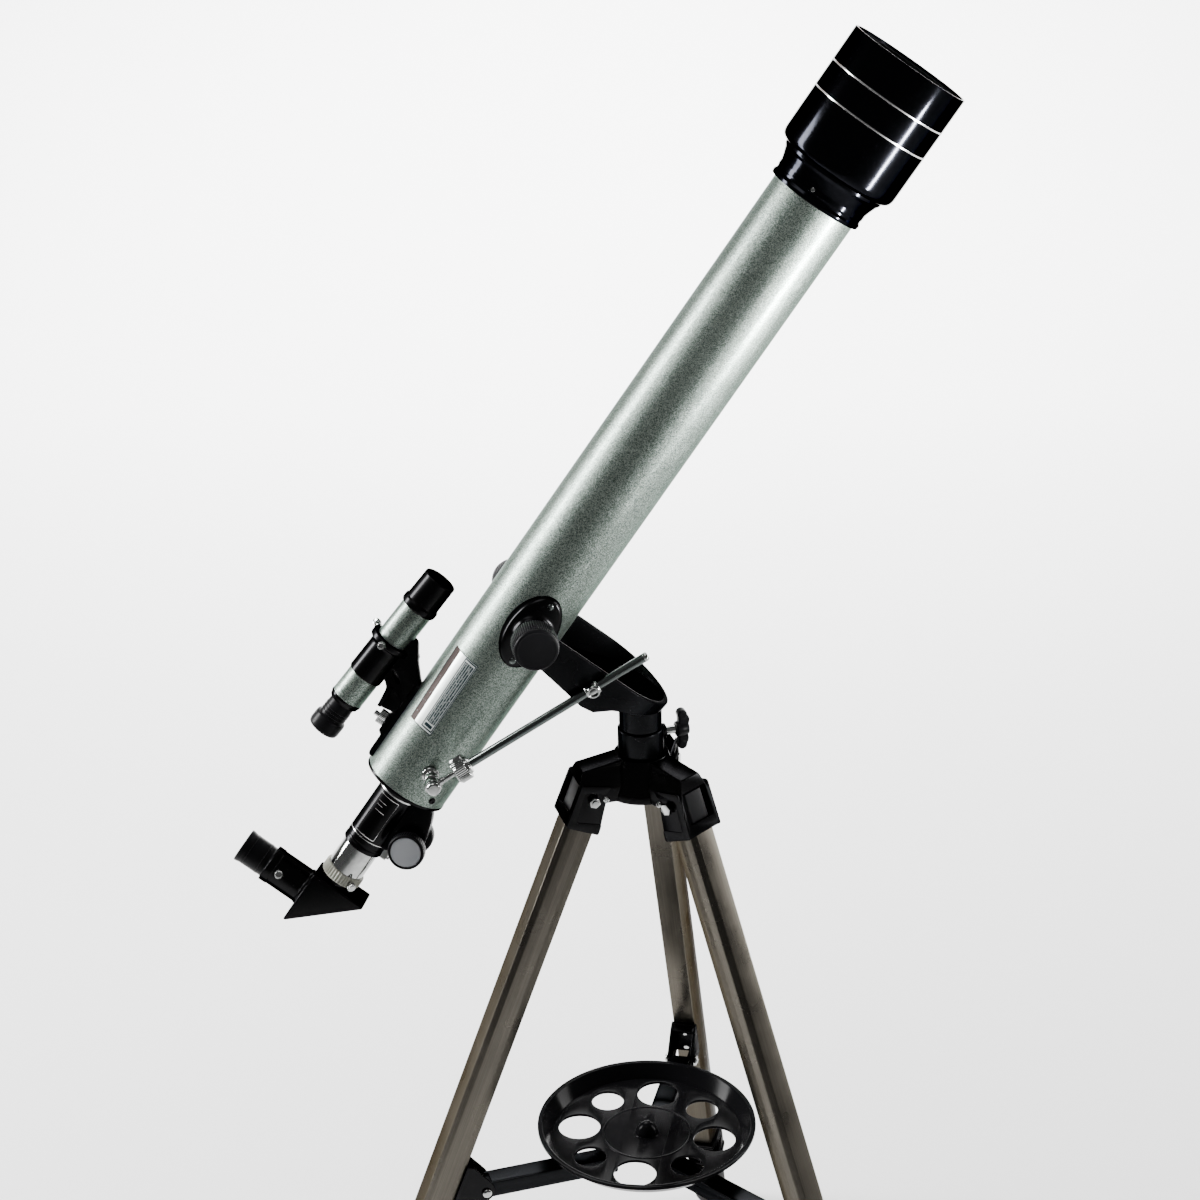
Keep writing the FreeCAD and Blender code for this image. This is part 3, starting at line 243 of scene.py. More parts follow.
def slab(outline, low, high, holes=(), bevel=0.4, steps=2):
    """Plate between two heights from an outline with holes, its rims rounded."""
    curve = bpy.data.curves.new("slab", "CURVE")
    curve.dimensions = "2D"
    curve.fill_mode = "BOTH"
    curve.extrude = (high - low) / 2 - bevel
    curve.bevel_depth = bevel
    curve.bevel_resolution = steps
    curve.offset = -bevel
    for loop in (outline, *holes):
        spline = curve.splines.new("POLY")
        spline.points.add(len(loop) - 1)
        for point, (x, y) in zip(spline.points, loop):
            point.co = (x, y, 0, 1)
        spline.use_cyclic_u = True
    holder = bpy.data.objects.new("slab", curve)
    verts, faces = shape_of(bpy.data.meshes.new_from_object(holder))
    bpy.data.objects.remove(holder)
    bpy.data.curves.remove(curve)
    return [(x, y, z + (low + high) / 2) for x, y, z in verts], faces


def side_slab(outline, half, holes=(), bevel=0.4, steps=2):
    """Plate standing on edge: the outline is in X and Z, the thickness runs from -half to half in Y."""
    verts, faces = slab(outline, -half, half, holes, bevel, steps)
    return [(x, -z, y) for x, y, z in verts], faces


def hexagon(across, low, high, bevel=0.5):
    return slab(circle(across / math.sqrt(3), 6), low, high, bevel=bevel)


def piece(name, data, place, material, body, replaces=(), smooth=32):
    """One visible piece from vertices in millimetres, riding on a CAD body."""
    verts, faces = data
    mesh = mesh_of(name, ([Vector(v) * MM for v in verts], faces))
    weld(mesh)
    mesh.shade_smooth()
    mesh.set_sharp_from_angle(angle=math.radians(smooth))
    mesh.materials.append(material)
    thing = linked(name, mesh)
    thing.matrix_world = place
    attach(thing, body)
    if replaces:
        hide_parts(*replaces)
    return thing


def moulded(data, voxel, passes):
    """Melts overlapping shells into one moulded shape with rounded edges."""
    holder = linked("mould", mesh_of("mould", data))
    remesh = holder.modifiers.new("voxels", "REMESH")
    remesh.mode = "VOXEL"
    remesh.voxel_size = voxel
    relax = holder.modifiers.new("relax", "SMOOTH")
    relax.factor = 0.5
    relax.iterations = passes
    return applied(holder)


def carve(data, cutters, operation="DIFFERENCE"):
    """Cuts closed shells out of a closed shell, or keeps only what they share."""
    meshes = [mesh_of("carve", shape) for shape in (data, *cutters)]
    for mesh in meshes:
        weld(mesh, 1e-4)
    base, *tools = [linked("carve", mesh) for mesh in meshes]
    for tool in tools:
        boolean = base.modifiers.new("cut", "BOOLEAN")
        boolean.operation = operation
        boolean.solver = "EXACT"
        boolean.object = tool
    return applied(base, *tools)


def rod(radius, low, high, segments=32, soft=0.3):
    """Solid round bar between two heights."""
    return lathe([(0, low), (radius, low), (radius, high), (0, high)], segments, soft)


def pipe(inner, outer, low, high, segments=96, soft=0.4):
    """Round bar with a bore, between two heights."""
    return lathe([(inner, low), (outer, low), (outer, high), (inner, high)], segments, soft)


# ---------------------------------------------------------------- materials
class Nodes:
    """Small helper around one material's node tree."""

    def __init__(self, name):
        self.material = bpy.data.materials.new(name)
        self.material.use_nodes = True
        self.tree = self.material.node_tree
        self.shader = self.tree.nodes["Principled BSDF"]
        coords = self.tree.nodes.new("ShaderNodeTexCoord")
        self.place = coords.outputs["Object"]

    def add(self, kind, **values):
        node = self.tree.nodes.new(kind)
        for key, value in values.items():
            if key in node.inputs:
                node.inputs[key].default_value = value
            else:
                setattr(node, key, value)
        return node

    def link(self, source, target):
        self.tree.links.new(source, target)

    def stretch(self, scale, place=None):
        node = self.add("ShaderNodeMapping")
        self.link(place or self.place, node.inputs["Vector"])
        node.inputs["Scale"].default_value = scale
        return node.outputs["Vector"]

    def noise(self, scale, detail, place=None):
        node = self.add("ShaderNodeTexNoise", Scale=scale, Detail=detail, Roughness=0.5)
        self.link(place or self.place, node.inputs["Vector"])
        return node.outputs["Fac"]

    def band(self, value, low, high, out_low, out_high):
        node = self.add("ShaderNodeMapRange")
        self.link(value, node.inputs["Value"])
        for key, number in (("From Min", low), ("From Max", high), ("To Min", out_low), ("To Max", out_high)):
            node.inputs[key].default_value = number
        return node.outputs["Result"]

    def blend(self, factor, first, second):
        node = self.tree.nodes.new("ShaderNodeMix")
        node.data_type = "RGBA"
        self.link(factor, node.inputs["Factor"])
        for key, colour in (("A", first), ("B", second)):
            socket = [s for s in node.inputs if s.name == key and s.type == "RGBA"][0]
            if isinstance(colour, bpy.types.NodeSocket):
                self.link(colour, socket)
            else:
                socket.default_value = (*colour, 1)
        return [s for s in node.outputs if s.type == "RGBA"][0]

    def bump(self, height, strength, distance):
        node = self.add("ShaderNodeBump", Strength=strength, Distance=distance)
        self.link(height, node.inputs["Height"])
        return node.outputs["Normal"]

    def set(self, **values):
        for key, value in values.items():
            socket = self.shader.inputs[key.replace("_", " ")]
            if isinstance(value, bpy.types.NodeSocket):
                self.link(value, socket)
            elif isinstance(value, tuple) and len(value) == 3:
                socket.default_value = (*value, 1) if socket.type == "RGBA" else value
            else:
                socket.default_value = value
        return self.material


def plastic(name, colour, rough, grain=0.05, grain_scale=1500, lift=1.6, shine=0.2):
    """Moulded plastic or enamel: fine orange peel, faint handling marks, slight tone drift."""
    n = Nodes(name)
    smudge = n.noise(38, 4)
    fine = n.noise(grain_scale, 2)
    tone = n.band(n.noise(14, 2), 0.3, 0.7, 0, 1)
    light = tuple(min(1.0, c * lift + 0.0008) for c in colour)
    n.set(Base_Color=n.blend(tone, colour, light), IOR=1.5, Specular_IOR_Level=shine,
          Roughness=n.band(smudge, 0.3, 0.7, rough - 0.03, rough + 0.06), Normal=n.bump(fine, grain, 0.0002))
    return n.material


def metal(name, colour, rough, streak, bump=0.05, edge=0.7):
    """Metal, or a dark gloss skin; streak stretches its grain along local axes, a low edge dims its rim."""
    n = Nodes(name)
    grain = n.noise(1.0, 4, n.stretch(streak))
    cloud = n.noise(25, 3)
    dark = tuple(c * 0.82 for c in colour)
    n.set(Base_Color=n.blend(n.band(grain, 0.35, 0.65, 0, 1), dark, colour), Metallic=1.0,
          Specular_Tint=(edge, edge, edge, 1.0), Roughness=n.band(cloud, 0.3, 0.7, rough * 0.8, rough * 1.25),
          Normal=n.bump(grain, bump, 0.0002))
    return n.material


def flake_paint(name, dark, light, flake_scale):
    """Metallic paint: tiny flakes, each with its own tone and tilt, and a slow drift of tone."""
    n = Nodes(name)

    def flakes(scale):
        cells = n.add("ShaderNodeTexVoronoi", Scale=scale)
        n.link(n.place, cells.inputs["Vector"])
        split = n.add("ShaderNodeSeparateColor")
        n.link(cells.outputs["Color"], split.inputs["Color"])
        return split.outputs
    fine, coarse = flakes(flake_scale), flakes(flake_scale * 0.42)
    base = n.blend(n.band(fine["Red"], 0.35, 1.0, 0.0, 1.0), dark, light)
    second = n.blend(n.band(coarse["Green"], 0, 1, 0, 0.12), base, dark)
    drift = n.blend(n.band(n.noise(9, 2), 0.35, 0.65, 0.0, 0.08), second, light)
    tilt = n.bump(fine["Blue"], 0.35, 0.00012)
    rough = n.band(n.noise(30, 3), 0.3, 0.7, 0.31, 0.34)
    n.set(Base_Color=drift, Metallic=0.92, Roughness=rough, Specular_Tint=(0.3, 0.34, 0.32, 1.0), Normal=tilt)
    return n.material


def glass(name, tint):
    n = Nodes(name)
    cloud = n.noise(20, 2)
    n.set(Base_Color=tint, Transmission_Weight=1.0, IOR=1.5, Roughness=n.band(cloud, 0.3, 0.7, 0.0, 0.02),
          Coat_Weight=0.6, Coat_Tint=(0.5, 0.75, 0.65), Coat_Roughness=0.03)
    return n.material


BLACK = metal("black_gloss_plastic", (0.014, 0.014, 0.0145), 0.22, (1500, 1500, 1500), 0.02, edge=0.15)
SATIN = plastic("black_satin_plastic", (0.0035, 0.0035, 0.004), 0.34, grain=0.12, shine=0.07)
HOOD = metal("hood_gloss_black", (0.0105, 0.011, 0.0135), 0.11, (300, 300, 300), 0.002, edge=0.12)
ENAMEL = metal("yoke_black_enamel", (0.0125, 0.013, 0.014), 0.27, (1500, 1500, 1500), 0.03, edge=0.2)
TRAY_BLACK = plastic("tray_gloss_black", (0.002, 0.002, 0.0023), 0.12, grain=0.02, shine=0.025)
FLOCK = plastic("inner_matt_black", (0.006, 0.006, 0.006), 0.9, grain=0.3, grain_scale=2500)
RUBBER = plastic("foot_black_rubber", (0.011, 0.011, 0.011), 0.75, grain=0.35, grain_scale=1200)
PAINT = flake_paint("silver_green_flake_paint", (0.055, 0.075, 0.064), (0.46, 0.53, 0.475), 3000)
CHROME = metal("bright_chrome", (0.5, 0.51, 0.5), 0.07, (300, 300, 300), 0.02)
DARK_STEEL = metal("dark_rod_steel", (0.13, 0.145, 0.14), 0.2, (900, 900, 30), 0.05)
BRASS = metal("machined_brass", (0.75, 0.58, 0.3), 0.25, (500, 500, 500), 0.05)
LEG_METAL = metal("leg_satin_aluminium", (0.105, 0.096, 0.081), 0.3, (1600, 1600, 14), 0.02, edge=0.25)
SILVER = metal("silver_trim", (0.78, 0.79, 0.78), 0.22, (600, 600, 600), 0.03)
GREY = plastic("knob_cap_grey", (0.33, 0.34, 0.36), 0.4, lift=1.06, shine=0.2)
PALE = plastic("knurled_ring_pale", (0.36, 0.36, 0.31), 0.36, lift=1.08, shine=0.2)
LENS = glass("coated_lens_glass", (0.86, 0.95, 0.93))


# ---------------------------------------------------------------- shared small shapes
def loft(rings, segments=72):
    """Closed shell through oval rings of (half length in X, half width in Y, height)."""
    angles = [2 * math.pi * index / segments for index in range(segments)]
    verts = [(rx * math.cos(a), ry * math.sin(a), height) for rx, ry, height in rings for a in angles]
    return verts, ring_faces(len(rings), segments)


def brick(low, high, bevel=0.4):
    """Box between two corners with rounded edges."""
    outline = rounded([(low[0], low[1]), (high[0], low[1]), (high[0], high[1]), (low[0], high[1])], bevel, 3)
    return slab(outline, low[2], high[2], bevel=bevel)


def pan_head(radius, height, start):
    """Domed screw head with a cross recess, its back at start."""
    head = lathe([(0, start), (radius, start), (radius, start + height * 0.45),
                  (radius * 0.72, start + height * 0.85), (0, start + height)], 40, 0.5)
    arm, width = radius * 0.62, radius * 0.12
    recess = brick((-arm, -width, start + height * 0.45), (arm, width, start + height + 2), 0.02)
    return carve(head, [place_mesh(recess, turn("Z", angle)) for angle in (20, 110)])


def knurled(radius, low, high, count, depth, inner, soft=0.8):
    """Turned grip with fine ridges round its side."""
    def wave(r, z, angle):
        if r < radius - 0.9:
            return r
        return r - depth * (0.5 - 0.5 * math.cos(count * angle))
    points_per_ridge = 6
    profile = [(inner, low), (radius, low), (radius, high), (inner, high)]
    return lathe(profile, count * points_per_ridge, soft, wave=wave)


def tube_curve(points, radius, sides=6):
    """Thin round line through points, for trim lines."""
    verts = []
    spots = [Vector(p) for p in points]
    for index, spot in enumerate(spots):
        ahead = spots[min(index + 1, len(spots) - 1)] - spots[max(index - 1, 0)]
        along = ahead.normalized()
        across = along.orthogonal().normalized()
        other = along.cross(across)
        for side in range(sides):
            angle = 2 * math.pi * side / sides
            verts.append(tuple(spot + across * radius * math.cos(angle) + other * radius * math.sin(angle)))
    return verts, ring_faces(len(spots), sides)


def skin_patch(corner, rows, columns, radius, thick):
    """Thin sheet that follows a tube: corner(u, v) gives (angle from +X in degrees, height)."""
    verts, faces = [], []
    for layer in (radius, radius + thick):
        for row in range(rows + 1):
            for column in range(columns + 1):
                angle, height = corner(column / columns, row / rows)
                a = math.radians(angle)
                verts.append((layer * math.cos(a), layer * math.sin(a), height))
    wide = columns + 1
    top = wide * (rows + 1)
    for row in range(rows):
        for column in range(columns):
            a = row * wide + column
            quad = (a, a + 1, a + wide + 1, a + wide)
            faces.append(tuple(i + top for i in quad))
            faces.append(tuple(reversed(quad)))
    edge = [i for i in range(wide)] + [r * wide + columns for r in range(1, rows + 1)]
    edge += [rows * wide + c for c in range(columns - 1, -1, -1)] + [r * wide for r in range(rows - 1, 0, -1)]
    for index, a in enumerate(edge):
        b = edge[(index + 1) % len(edge)]
        faces.append((a, b, b + top, a + top))
    return verts, faces


# ---------------------------------------------------------------- main tube, cell, dew shield
TUBE_RADIUS, TUBE_REAR, TUBE_FRONT = 31.4, -153, 362


def build_main_tube():
    tube = pipe(TUBE_RADIUS - 1, TUBE_RADIUS, TUBE_REAR, TUBE_FRONT, 180, 0.25)
    piece("main_tube_painted", tube, TUBE, PAINT, "tube", ["main_tube"])


def build_objective_cell():
    """Turned collar that holds the lenses, from the tube's end up into the dew shield."""
    cell = [(TUBE_RADIUS, 352), (34.5, 352), (34.7, 354.6), (33.6, 356.2), (33.6, 358), (34.0, 359),
            (34.0, 362.5), (35.2, 366.5), (36.9, 371), (38.4, 373.2), (38.4, 376), (41.7, 379),
            (41.7, 398.5), (37, 398.5), (37, 386.8), (33, 386.8), (33, 394.8), (30.5, 394.8), (30.5, 374),
            (29, 374), (29, TUBE_FRONT), (TUBE_RADIUS, TUBE_FRONT)]
    piece("objective_cell_shell", lathe(cell, 160, 0.5), TUBE, HOOD, "tube",
          ["objective_cell"])


def build_dew_shield():
    """Gloss hood with a rounded rear edge, a matt lining and two bright rings."""
    outer, inner, rear, front = 43.84, 41.9, 374.9, 461.8
    hood = [(38.3, rear), (outer - 6.5, rear, 0.2), (outer - 3.6, rear + 0.7, 1),
            (outer - 1.3, rear + 2.4, 1.5), (outer - 0.3, rear + 4.8, 1.5), (outer, rear + 7.5, 1),
            (outer, front, 0.7), (inner, front, 0.7), (inner, rear + 4.1), (38.3, rear + 4.1)]
    piece("dew_shield_shell", lathe(hood, 180, 0.5), TUBE, HOOD, "tube", ["dew_shield"])
    liner = [(inner - 0.02, front - 2), (inner - 0.5, front - 2.5), (inner - 0.5, rear + 24.5),
             (inner - 0.02, rear + 24.5)]
    piece("dew_shield_liner", lathe(liner, 140, 0.1), TUBE, FLOCK, "tube")
    for number, back in enumerate((26.0, 46.0), start=1):
        low, high = front - back - 0.55, front - back + 0.55
        band = lathe([(outer - 0.4, low), (outer + 0.16, low), (outer + 0.16, high), (outer - 0.4, high)],
                     180, 0.2)
        piece("dew_shield_silver_ring_%d" % number, band, TUBE, SILVER, "tube")


def build_tube_screws():
    screw = place_mesh(pan_head(1.9, 1.0, 33.2), shift(0, 0, 360.5) @ turn("Z", -118) @ OUTWARD)
    piece("cell_grub_screw", screw, TUBE, CHROME, "tube")
    head = lathe([(0, 31), (2.5, 31), (2.5, 32.1), (1.9, 32.6), (1.1, 32.6), (1.1, 32.0), (0, 32.0)], 36, 0.2)
    rear_screw = place_mesh(head, shift(0, 0, -146.5) @ turn("Z", -64) @ OUTWARD)
    far_screw = place_mesh(rear_screw, turn("Z", 180))
    piece("tube_end_screws", merge(rear_screw, far_screw), TUBE, SATIN, "tube")


def dome(radius, curve, height, steps, sign):
    """Half profile of a spherical surface from its rim to the axis."""
    points = []
    for step in range(steps + 1):
        r = radius * (1 - step / steps)
        drop = curve - math.sqrt(curve * curve - r * r)
        points.append((r, height - sign * drop))
    return points


def build_lenses():
    radius, seat, edge = 30.4, 374.05, 3.0
    inner_curve, front_curve, gap = 300, 420, 0.15
    sag_back = inner_curve - math.sqrt(inner_curve ** 2 - radius ** 2)
    sag_front = front_curve - math.sqrt(front_curve ** 2 - radius ** 2)
    hollow = dome(radius, inner_curve, seat + edge, 14, -1)
    flint = [(0, seat), (radius, seat)] + hollow
    piece("flint_lens_glass", lathe(flint, 120, 0), TUBE, LENS, "tube", ["flint_lens"])
    back = [(r, z + gap) for r, z in reversed(hollow)]
    top = seat + edge + gap + sag_back + sag_front + 2.6
    crown = back + dome(radius, front_curve, top, 14, 1)
    piece("crown_lens_glass", lathe(crown, 120, 0), TUBE, LENS, "tube", ["crown_lens"])
    ring = [(28.5, top - sag_front + 0.3), (30.45, top - sag_front + 0.1), (30.45, top + 3), (28.2, top + 3)]
    piece("lens_ring_black", lathe(ring, 120, 0.3), TUBE, SATIN, "tube", ["lens_ring"])


def label_material():
    """Silver foil with a dark stripe and plain ruled bars; no lettering."""
    n = Nodes("foil_label")
    uv = n.tree.nodes.new("ShaderNodeUVMap")
    uv.uv_map = "sheet"
    split = n.add("ShaderNodeSeparateXYZ")
    n.link(uv.outputs["UV"], split.inputs["Vector"])
    across, along = split.outputs["X"], split.outputs["Y"]

    def combine(first, second, operation):
        node = n.add("ShaderNodeMath", operation=operation)
        for socket, value in zip(node.inputs, (first, second)):
            if isinstance(value, bpy.types.NodeSocket):
                n.link(value, socket)
            else:
                socket.default_value = value
        return node.outputs[0]

    def both(first, second):
        return combine(first, second, "MULTIPLY")

    def either(first, *others):
        for other in others:
            first = combine(first, other, "MAXIMUM")
        return first

    def window(value, low, high):
        return both(combine(value, low, "GREATER_THAN"), combine(value, high, "LESS_THAN"))

    def sheet_box(left, right, low, high):
        return both(window(across, left, right), window(along, low, high))

    stripe = window(across, 0.02, 0.26)
    fleck = n.noise(1.0, 2, n.stretch((22, 12, 1), uv.outputs["UV"]))
    wave = n.add("ShaderNodeTexWave", Scale=4.4, Distortion=0.0)
    wave.bands_direction = "X"
    n.link(uv.outputs["UV"], wave.inputs["Vector"])
    breaks = n.noise(1.0, 2, n.stretch((14, 70, 1), uv.outputs["UV"]))
    ruled = both(window(wave.outputs["Fac"], 0.3, 2.0), window(breaks, 0.42, 1.0))
    bars = both(n.band(ruled, 0, 1, 0.62, 1.0), sheet_box(0.6, 0.93, 0.12, 0.95))
    panel = combine(sheet_box(0.55, 0.97, 0.03, 0.985), sheet_box(0.58, 0.94, 0.045, 0.97), "SUBTRACT")
    block = sheet_box(0.62, 0.9, 0.06, 0.1)
    border = [window(axis, low, high) for axis, width in ((across, 0.02), (along, 0.01))
              for low, high in ((0.0, width), (1 - width, 1.0))]
    dark = either(stripe, bars, block, panel, *border)
    fibre = n.noise(1.0, 3, n.stretch((900, 900, 60)))
    print_tone = n.blend(stripe, (0.012, 0.024, 0.027), (0.028, 0.018, 0.016))
    print_tone = n.blend(both(stripe, window(fleck, 0.68, 1.0)), print_tone, (0.2, 0.19, 0.18))
    foil = n.blend(n.band(fibre, 0.3, 0.7, 0, 1), (0.62, 0.66, 0.64), (0.8, 0.83, 0.81))
    n.set(Base_Color=n.blend(dark, foil, print_tone), Metallic=n.band(dark, 0, 1, 0.75, 0.1),
          Roughness=n.band(fibre, 0.3, 0.7, 0.3, 0.42), Specular_IOR_Level=0.03,
          Normal=n.bump(fibre, 0.04, 0.0002))
    return n.material


def build_label():
    """Foil sticker on the upper camera side, a little askew."""
    front, length, lower_angle = -42, 62, 241

    def upper_angle(v):
        return 195 + 5 * v

    def corner(u, v):
        return upper_angle(v) + (lower_angle - upper_angle(v)) * u, front - length * v
    data = skin_patch(corner, 30, 20, TUBE_RADIUS + 0.02, 0.12)
    label = piece("tube_label", data, TUBE, label_material(), "tube")
    sheet = label.data.uv_layers.new(name="sheet")
    for loop in label.data.loops:
        x, y, z = label.data.vertices[loop.vertex_index].co / MM
        v = (front - z) / length
        angle = math.degrees(math.atan2(y, x)) % 360
        sheet.data[loop.index].uv = ((angle - upper_angle(v)) / (lower_angle - upper_angle(v)), 1 - v)


# ---------------------------------------------------------------- side plates, knobs, slow-motion rod
def build_side_plates():
    """Oval plates with a flared bearing, their backs hollowed to sit on the tube."""
    rings = [(29.6, 18.2, 16), (29.4, 18.0, 31), (28.9, 17.5, 33.6), (28.0, 16.7, 34.9), (26.6, 15.6, 35.5),
             (19, 15.0, 35.9), (16.2, 14.8, 36.3), (14.6, 14.1, 37.1), (13.7, 13.6, 38.0), (13.4, 13.4, 39.0),
             (12.9, 12.9, 39.6), (4.3, 4.3, 39.6)]
    plate, head = loft(rings), pan_head(2.5, 1.5, 35.3)
    saddle = rod(TUBE_RADIUS - 0.1, -60, 60, 120, 0)
    sides = (UP_FROM_SIDE, AWAY_FROM_SIDE)
    shells = [carve(place_mesh(plate, away @ turn("Z", 90)), [saddle]) for away in sides]
    heads = [place_mesh(head, shift(0, 0, along) @ away) for away in sides for along in (-23.5, 23.5)]
    piece("pivot_plate_shells", merge(*shells), TUBE, BLACK, "tube", ["pivot_plates"])
    piece("pivot_plate_screw_heads", merge(*heads), TUBE, DARK_STEEL, "tube",
          ["pivot_plate_screws"])


def build_altitude_knobs():
    """Ridged grip, dished face, collar and shank on each side of the tube."""
    for name, away in (("near", UP_FROM_SIDE), ("far", AWAY_FROM_SIDE)):
        grip = knurled(16.2, 46.6, 60.2, 60, 0.45, 6)
        face = lathe([(0, 50), (15.4, 50), (15.6, 61.2), (15.0, 62.3), (13.6, 62.7), (13.0, 62.45),
                      (0, 62.45)], 96, 0.4)
        collar = lathe([(0, 44.7), (12.2, 44.7), (13.4, 45.6), (15.2, 46.2), (15.5, 48), (0, 48)], 96, 0.3)
        shank = rod(3.9, 33.2, 46, 48, 0.3)
        data = merge(*[place_mesh(part, away) for part in (grip, face, collar, shank)])
        piece("altitude_knob_%s_grip" % name, data, Matrix.Translation(PIVOT), SATIN, "knob_%s" % name,
              ["altitude_knob_%s" % name])


def build_guide_stud():
    """Turned stud on the tube that carries the slow-motion rod's eye screw."""
    near = shift(0, 0, -128) @ UP_FROM_SIDE              # the stud's place along the tube
    stud = lathe([(0, 30.6), (6.2, 30.6), (6.2, 33.4), (4.4, 34.4), (3.6, 35.2), (3.6, 37), (5.2, 38),
                  (5.4, 40), (5.2, 42.2), (3.4, 43.2), (3.4, 44.6), (4.9, 45.2), (4.9, 45.9), (2.95, 46.2),
                  (2.95, 51.9), (5.1, 51.9), (5.3, 53.2), (4.8, 54.6), (4.0, 55.3), (0, 55.4)], 64, 0.5)
    piece("guide_stud_chrome", place_mesh(stud, near), TUBE, CHROME, "tube", ["guide_stud"])


def build_guide_screw():
    """Eye round the stud, a neck and a threaded shank; the thread is a row of rings."""
    eye = place_mesh(pipe(3.05, 5.9, -2.5, 2.5, 48, 0.6), UP_FROM_SIDE)
    neck = lathe([(0, 4.5), (2.7, 4.5), (2.5, 8), (1.75, 9.3), (1.75, 95), (0, 95)], 32, 0.3)
    root, crest, pitch = 1.6, 1.98, 0.34
    thread = []
    for index in range(30):
        low = 9.6 + index * pitch
        ring = [(root, low), (crest, low + 0.12), (crest, low + 0.2), (root, low + 0.32)]
        thread.append(lathe(ring, 24, 0, True))
    piece("guide_screw_chrome", merge(eye, neck, *thread), ROD, CHROME, "guide_screw",
          ["guide_screw"])


def build_guide_nut():
    """Knurled nut with a stepped flange."""
    low, high, hole = 19.3, 28.3, 2.02
    grip = knurled(9.4, low, high, 40, 0.35, hole, 0.9)
    flange = lathe([(hole, high - 0.4), (7.2, high - 0.4), (6.4, high + 1.2), (6.1, high + 2.0),
                    (hole, high + 2.0)], 64, 0.4)
    groove = pipe(7.0, 8.3, low - 0.6, low + 0.4, 64, 0.3)
    piece("guide_nut_chrome", merge(grip, flange, groove), ROD, CHROME, "guide_nut",
          ["guide_nut"])


def build_guide_rod():
    barrel = [(1.8, 31.0), (3.2, 31.0), (3.2, 172.8), (3.0, 174.2), (2.4, 175.3), (0, 175.3)]
    data = lathe(barrel + [(0, 145.3), (1.8, 145.3)], 48, 0.3, True)
    piece("guide_rod_tube", data, ROD, DARK_STEEL, "guide_rod", ["guide_rod"])
    tip = lathe([(0, 173.0), (3.26, 173.0), (3.26, 175.2), (2.6, 176.4), (0, 176.6)], 48, 0.4)
    piece("guide_rod_tip", tip, ROD, CHROME, "guide_rod")


def build_rod_swivel():
    """Stud and ring on the yoke, cut through crosswise for the rod that slides in them; a black disc in the
    stud's hole is painted shade.
    """
    centre = shift(0, 0, 131.2)                          # the swivel's place along the rod
    pin = lathe([(0, -4.05), (4.6, -4.05), (5, -3.4), (5, 4.6), (4.5, 5.9), (3.6, 6.3), (3.1, 6.1),
                 (2.9, 2.6), (0, 2.6)], 48, 0.4)
    collar = lathe([(3.3, -5.2), (4.6, -5.2), (5.4, -4.0), (5.4, 4.0), (4.6, 5.2), (3.3, 5.2)], 48, 0.5)
    way = rod(3.3, 120, 142, 48, 0)
    data = merge(carve(place_mesh(pin, centre @ UP_FROM_SIDE), [way]), place_mesh(collar, centre))
    piece("rod_swivel_chrome", data, ROD, CHROME, "rod_swivel", ["rod_swivel"])
    # Black disc set into the pin's hole: painted shade for the dark inside of the hole, not a real part.
    socket = lathe([(0, 3.4), (2.95, 3.4), (2.95, 5.0), (1.6, 4.7), (1.4, 3.8), (0, 3.8)], 32, 0.2)
    piece("rod_swivel_hole_painted_shade", place_mesh(socket, centre @ UP_FROM_SIDE), ROD, BLACK, "rod_swivel")


# ---------------------------------------------------------------- yoke
SLOPE = math.radians(YOKE_SLOPE)
FLOOR_SLOPE, FLOOR_START = 0.33, 62                      # rise of the yoke's floor along it, and its front
EAR_RADIUS, BEND_X, BEND_RADIUS = 13.0, 80.2, 42.25      # round ends at the pivot; the strap's half round
POST_X, POST_RADIUS = 81.1, 15.5


def ear_edge(x):
    return math.sqrt(max(EAR_RADIUS ** 2 - x * x, 0.05))


def strap_top(x):
    return 9.1 if x > -9.2 else ear_edge(x)


def strap_bottom(x):
    """Lower edge: round at the ear, then a curve, then level and just under the floor."""
    if x < 0:
        return -ear_edge(x)
    if x < 67:
        return -EAR_RADIUS - 9.2 * (x / 67) ** 1.2
    level = (-60.4 + x * math.sin(SLOPE)) / math.cos(SLOPE)
    return min(level, -16 + (x - FLOOR_START) * FLOOR_SLOPE - 0.3)


def yoke_strap():
    """The bent strap: a rounded section carried along one arm, round the bend and back."""
    lead = [-12.95, -12.6, -11.8, -10.6, -9.2, -6.5, -3.5, 0, 4, 10, 20, 30, 40, 50, 60, 70]
    stations = [(x, -BEND_RADIUS, 0, -1) for x in lead]
    for step in range(37):
        c, s = math.cos(math.radians(-90 + 5 * step)), math.sin(math.radians(-90 + 5 * step))
        stations.append((BEND_X + BEND_RADIUS * c, BEND_RADIUS * s, c, s))
    stations += [(x, BEND_RADIUS, 0, 1) for x in reversed(lead)]
    half, round_edge = 2.25, 0.55
    verts = []
    for x, y, nx, ny in stations:
        top, low = strap_top(x), strap_bottom(x)
        edge = min(round_edge, (top - low) * 0.2)
        chamfer = edge * 0.3
        section = [(half, low + edge), (half, top - edge), (half - chamfer, top - chamfer),
                   (half - edge, top), (-half + edge, top), (-half + chamfer, top - chamfer),
                   (-half, top - edge), (-half, low + edge), (-half + edge, low), (half - edge, low)]
        verts += [(x + nx * out, y + ny * out, z) for out, z in section]
    return verts, ring_faces(len(stations), 10)


def yoke_floor():
    """Sloping web that closes the bend above the post."""
    lean, radius = math.atan(FLOOR_SLOPE), BEND_RADIUS - 1.25
    bend = [math.radians(a) for a in range(-85, 86, 10)]
    edge = [(60, -radius)]
    edge += [(BEND_X + radius * math.cos(a), radius * math.sin(a)) for a in bend]
    edge += [(60, radius)]
    edge = [((x - FLOOR_START) / math.cos(lean), y) for x, y in edge]
    place = shift(FLOOR_START, 0, -14) @ turn("Y", -math.degrees(lean))
    return place_mesh(slab(edge, -2, 2, bevel=0.8), place)


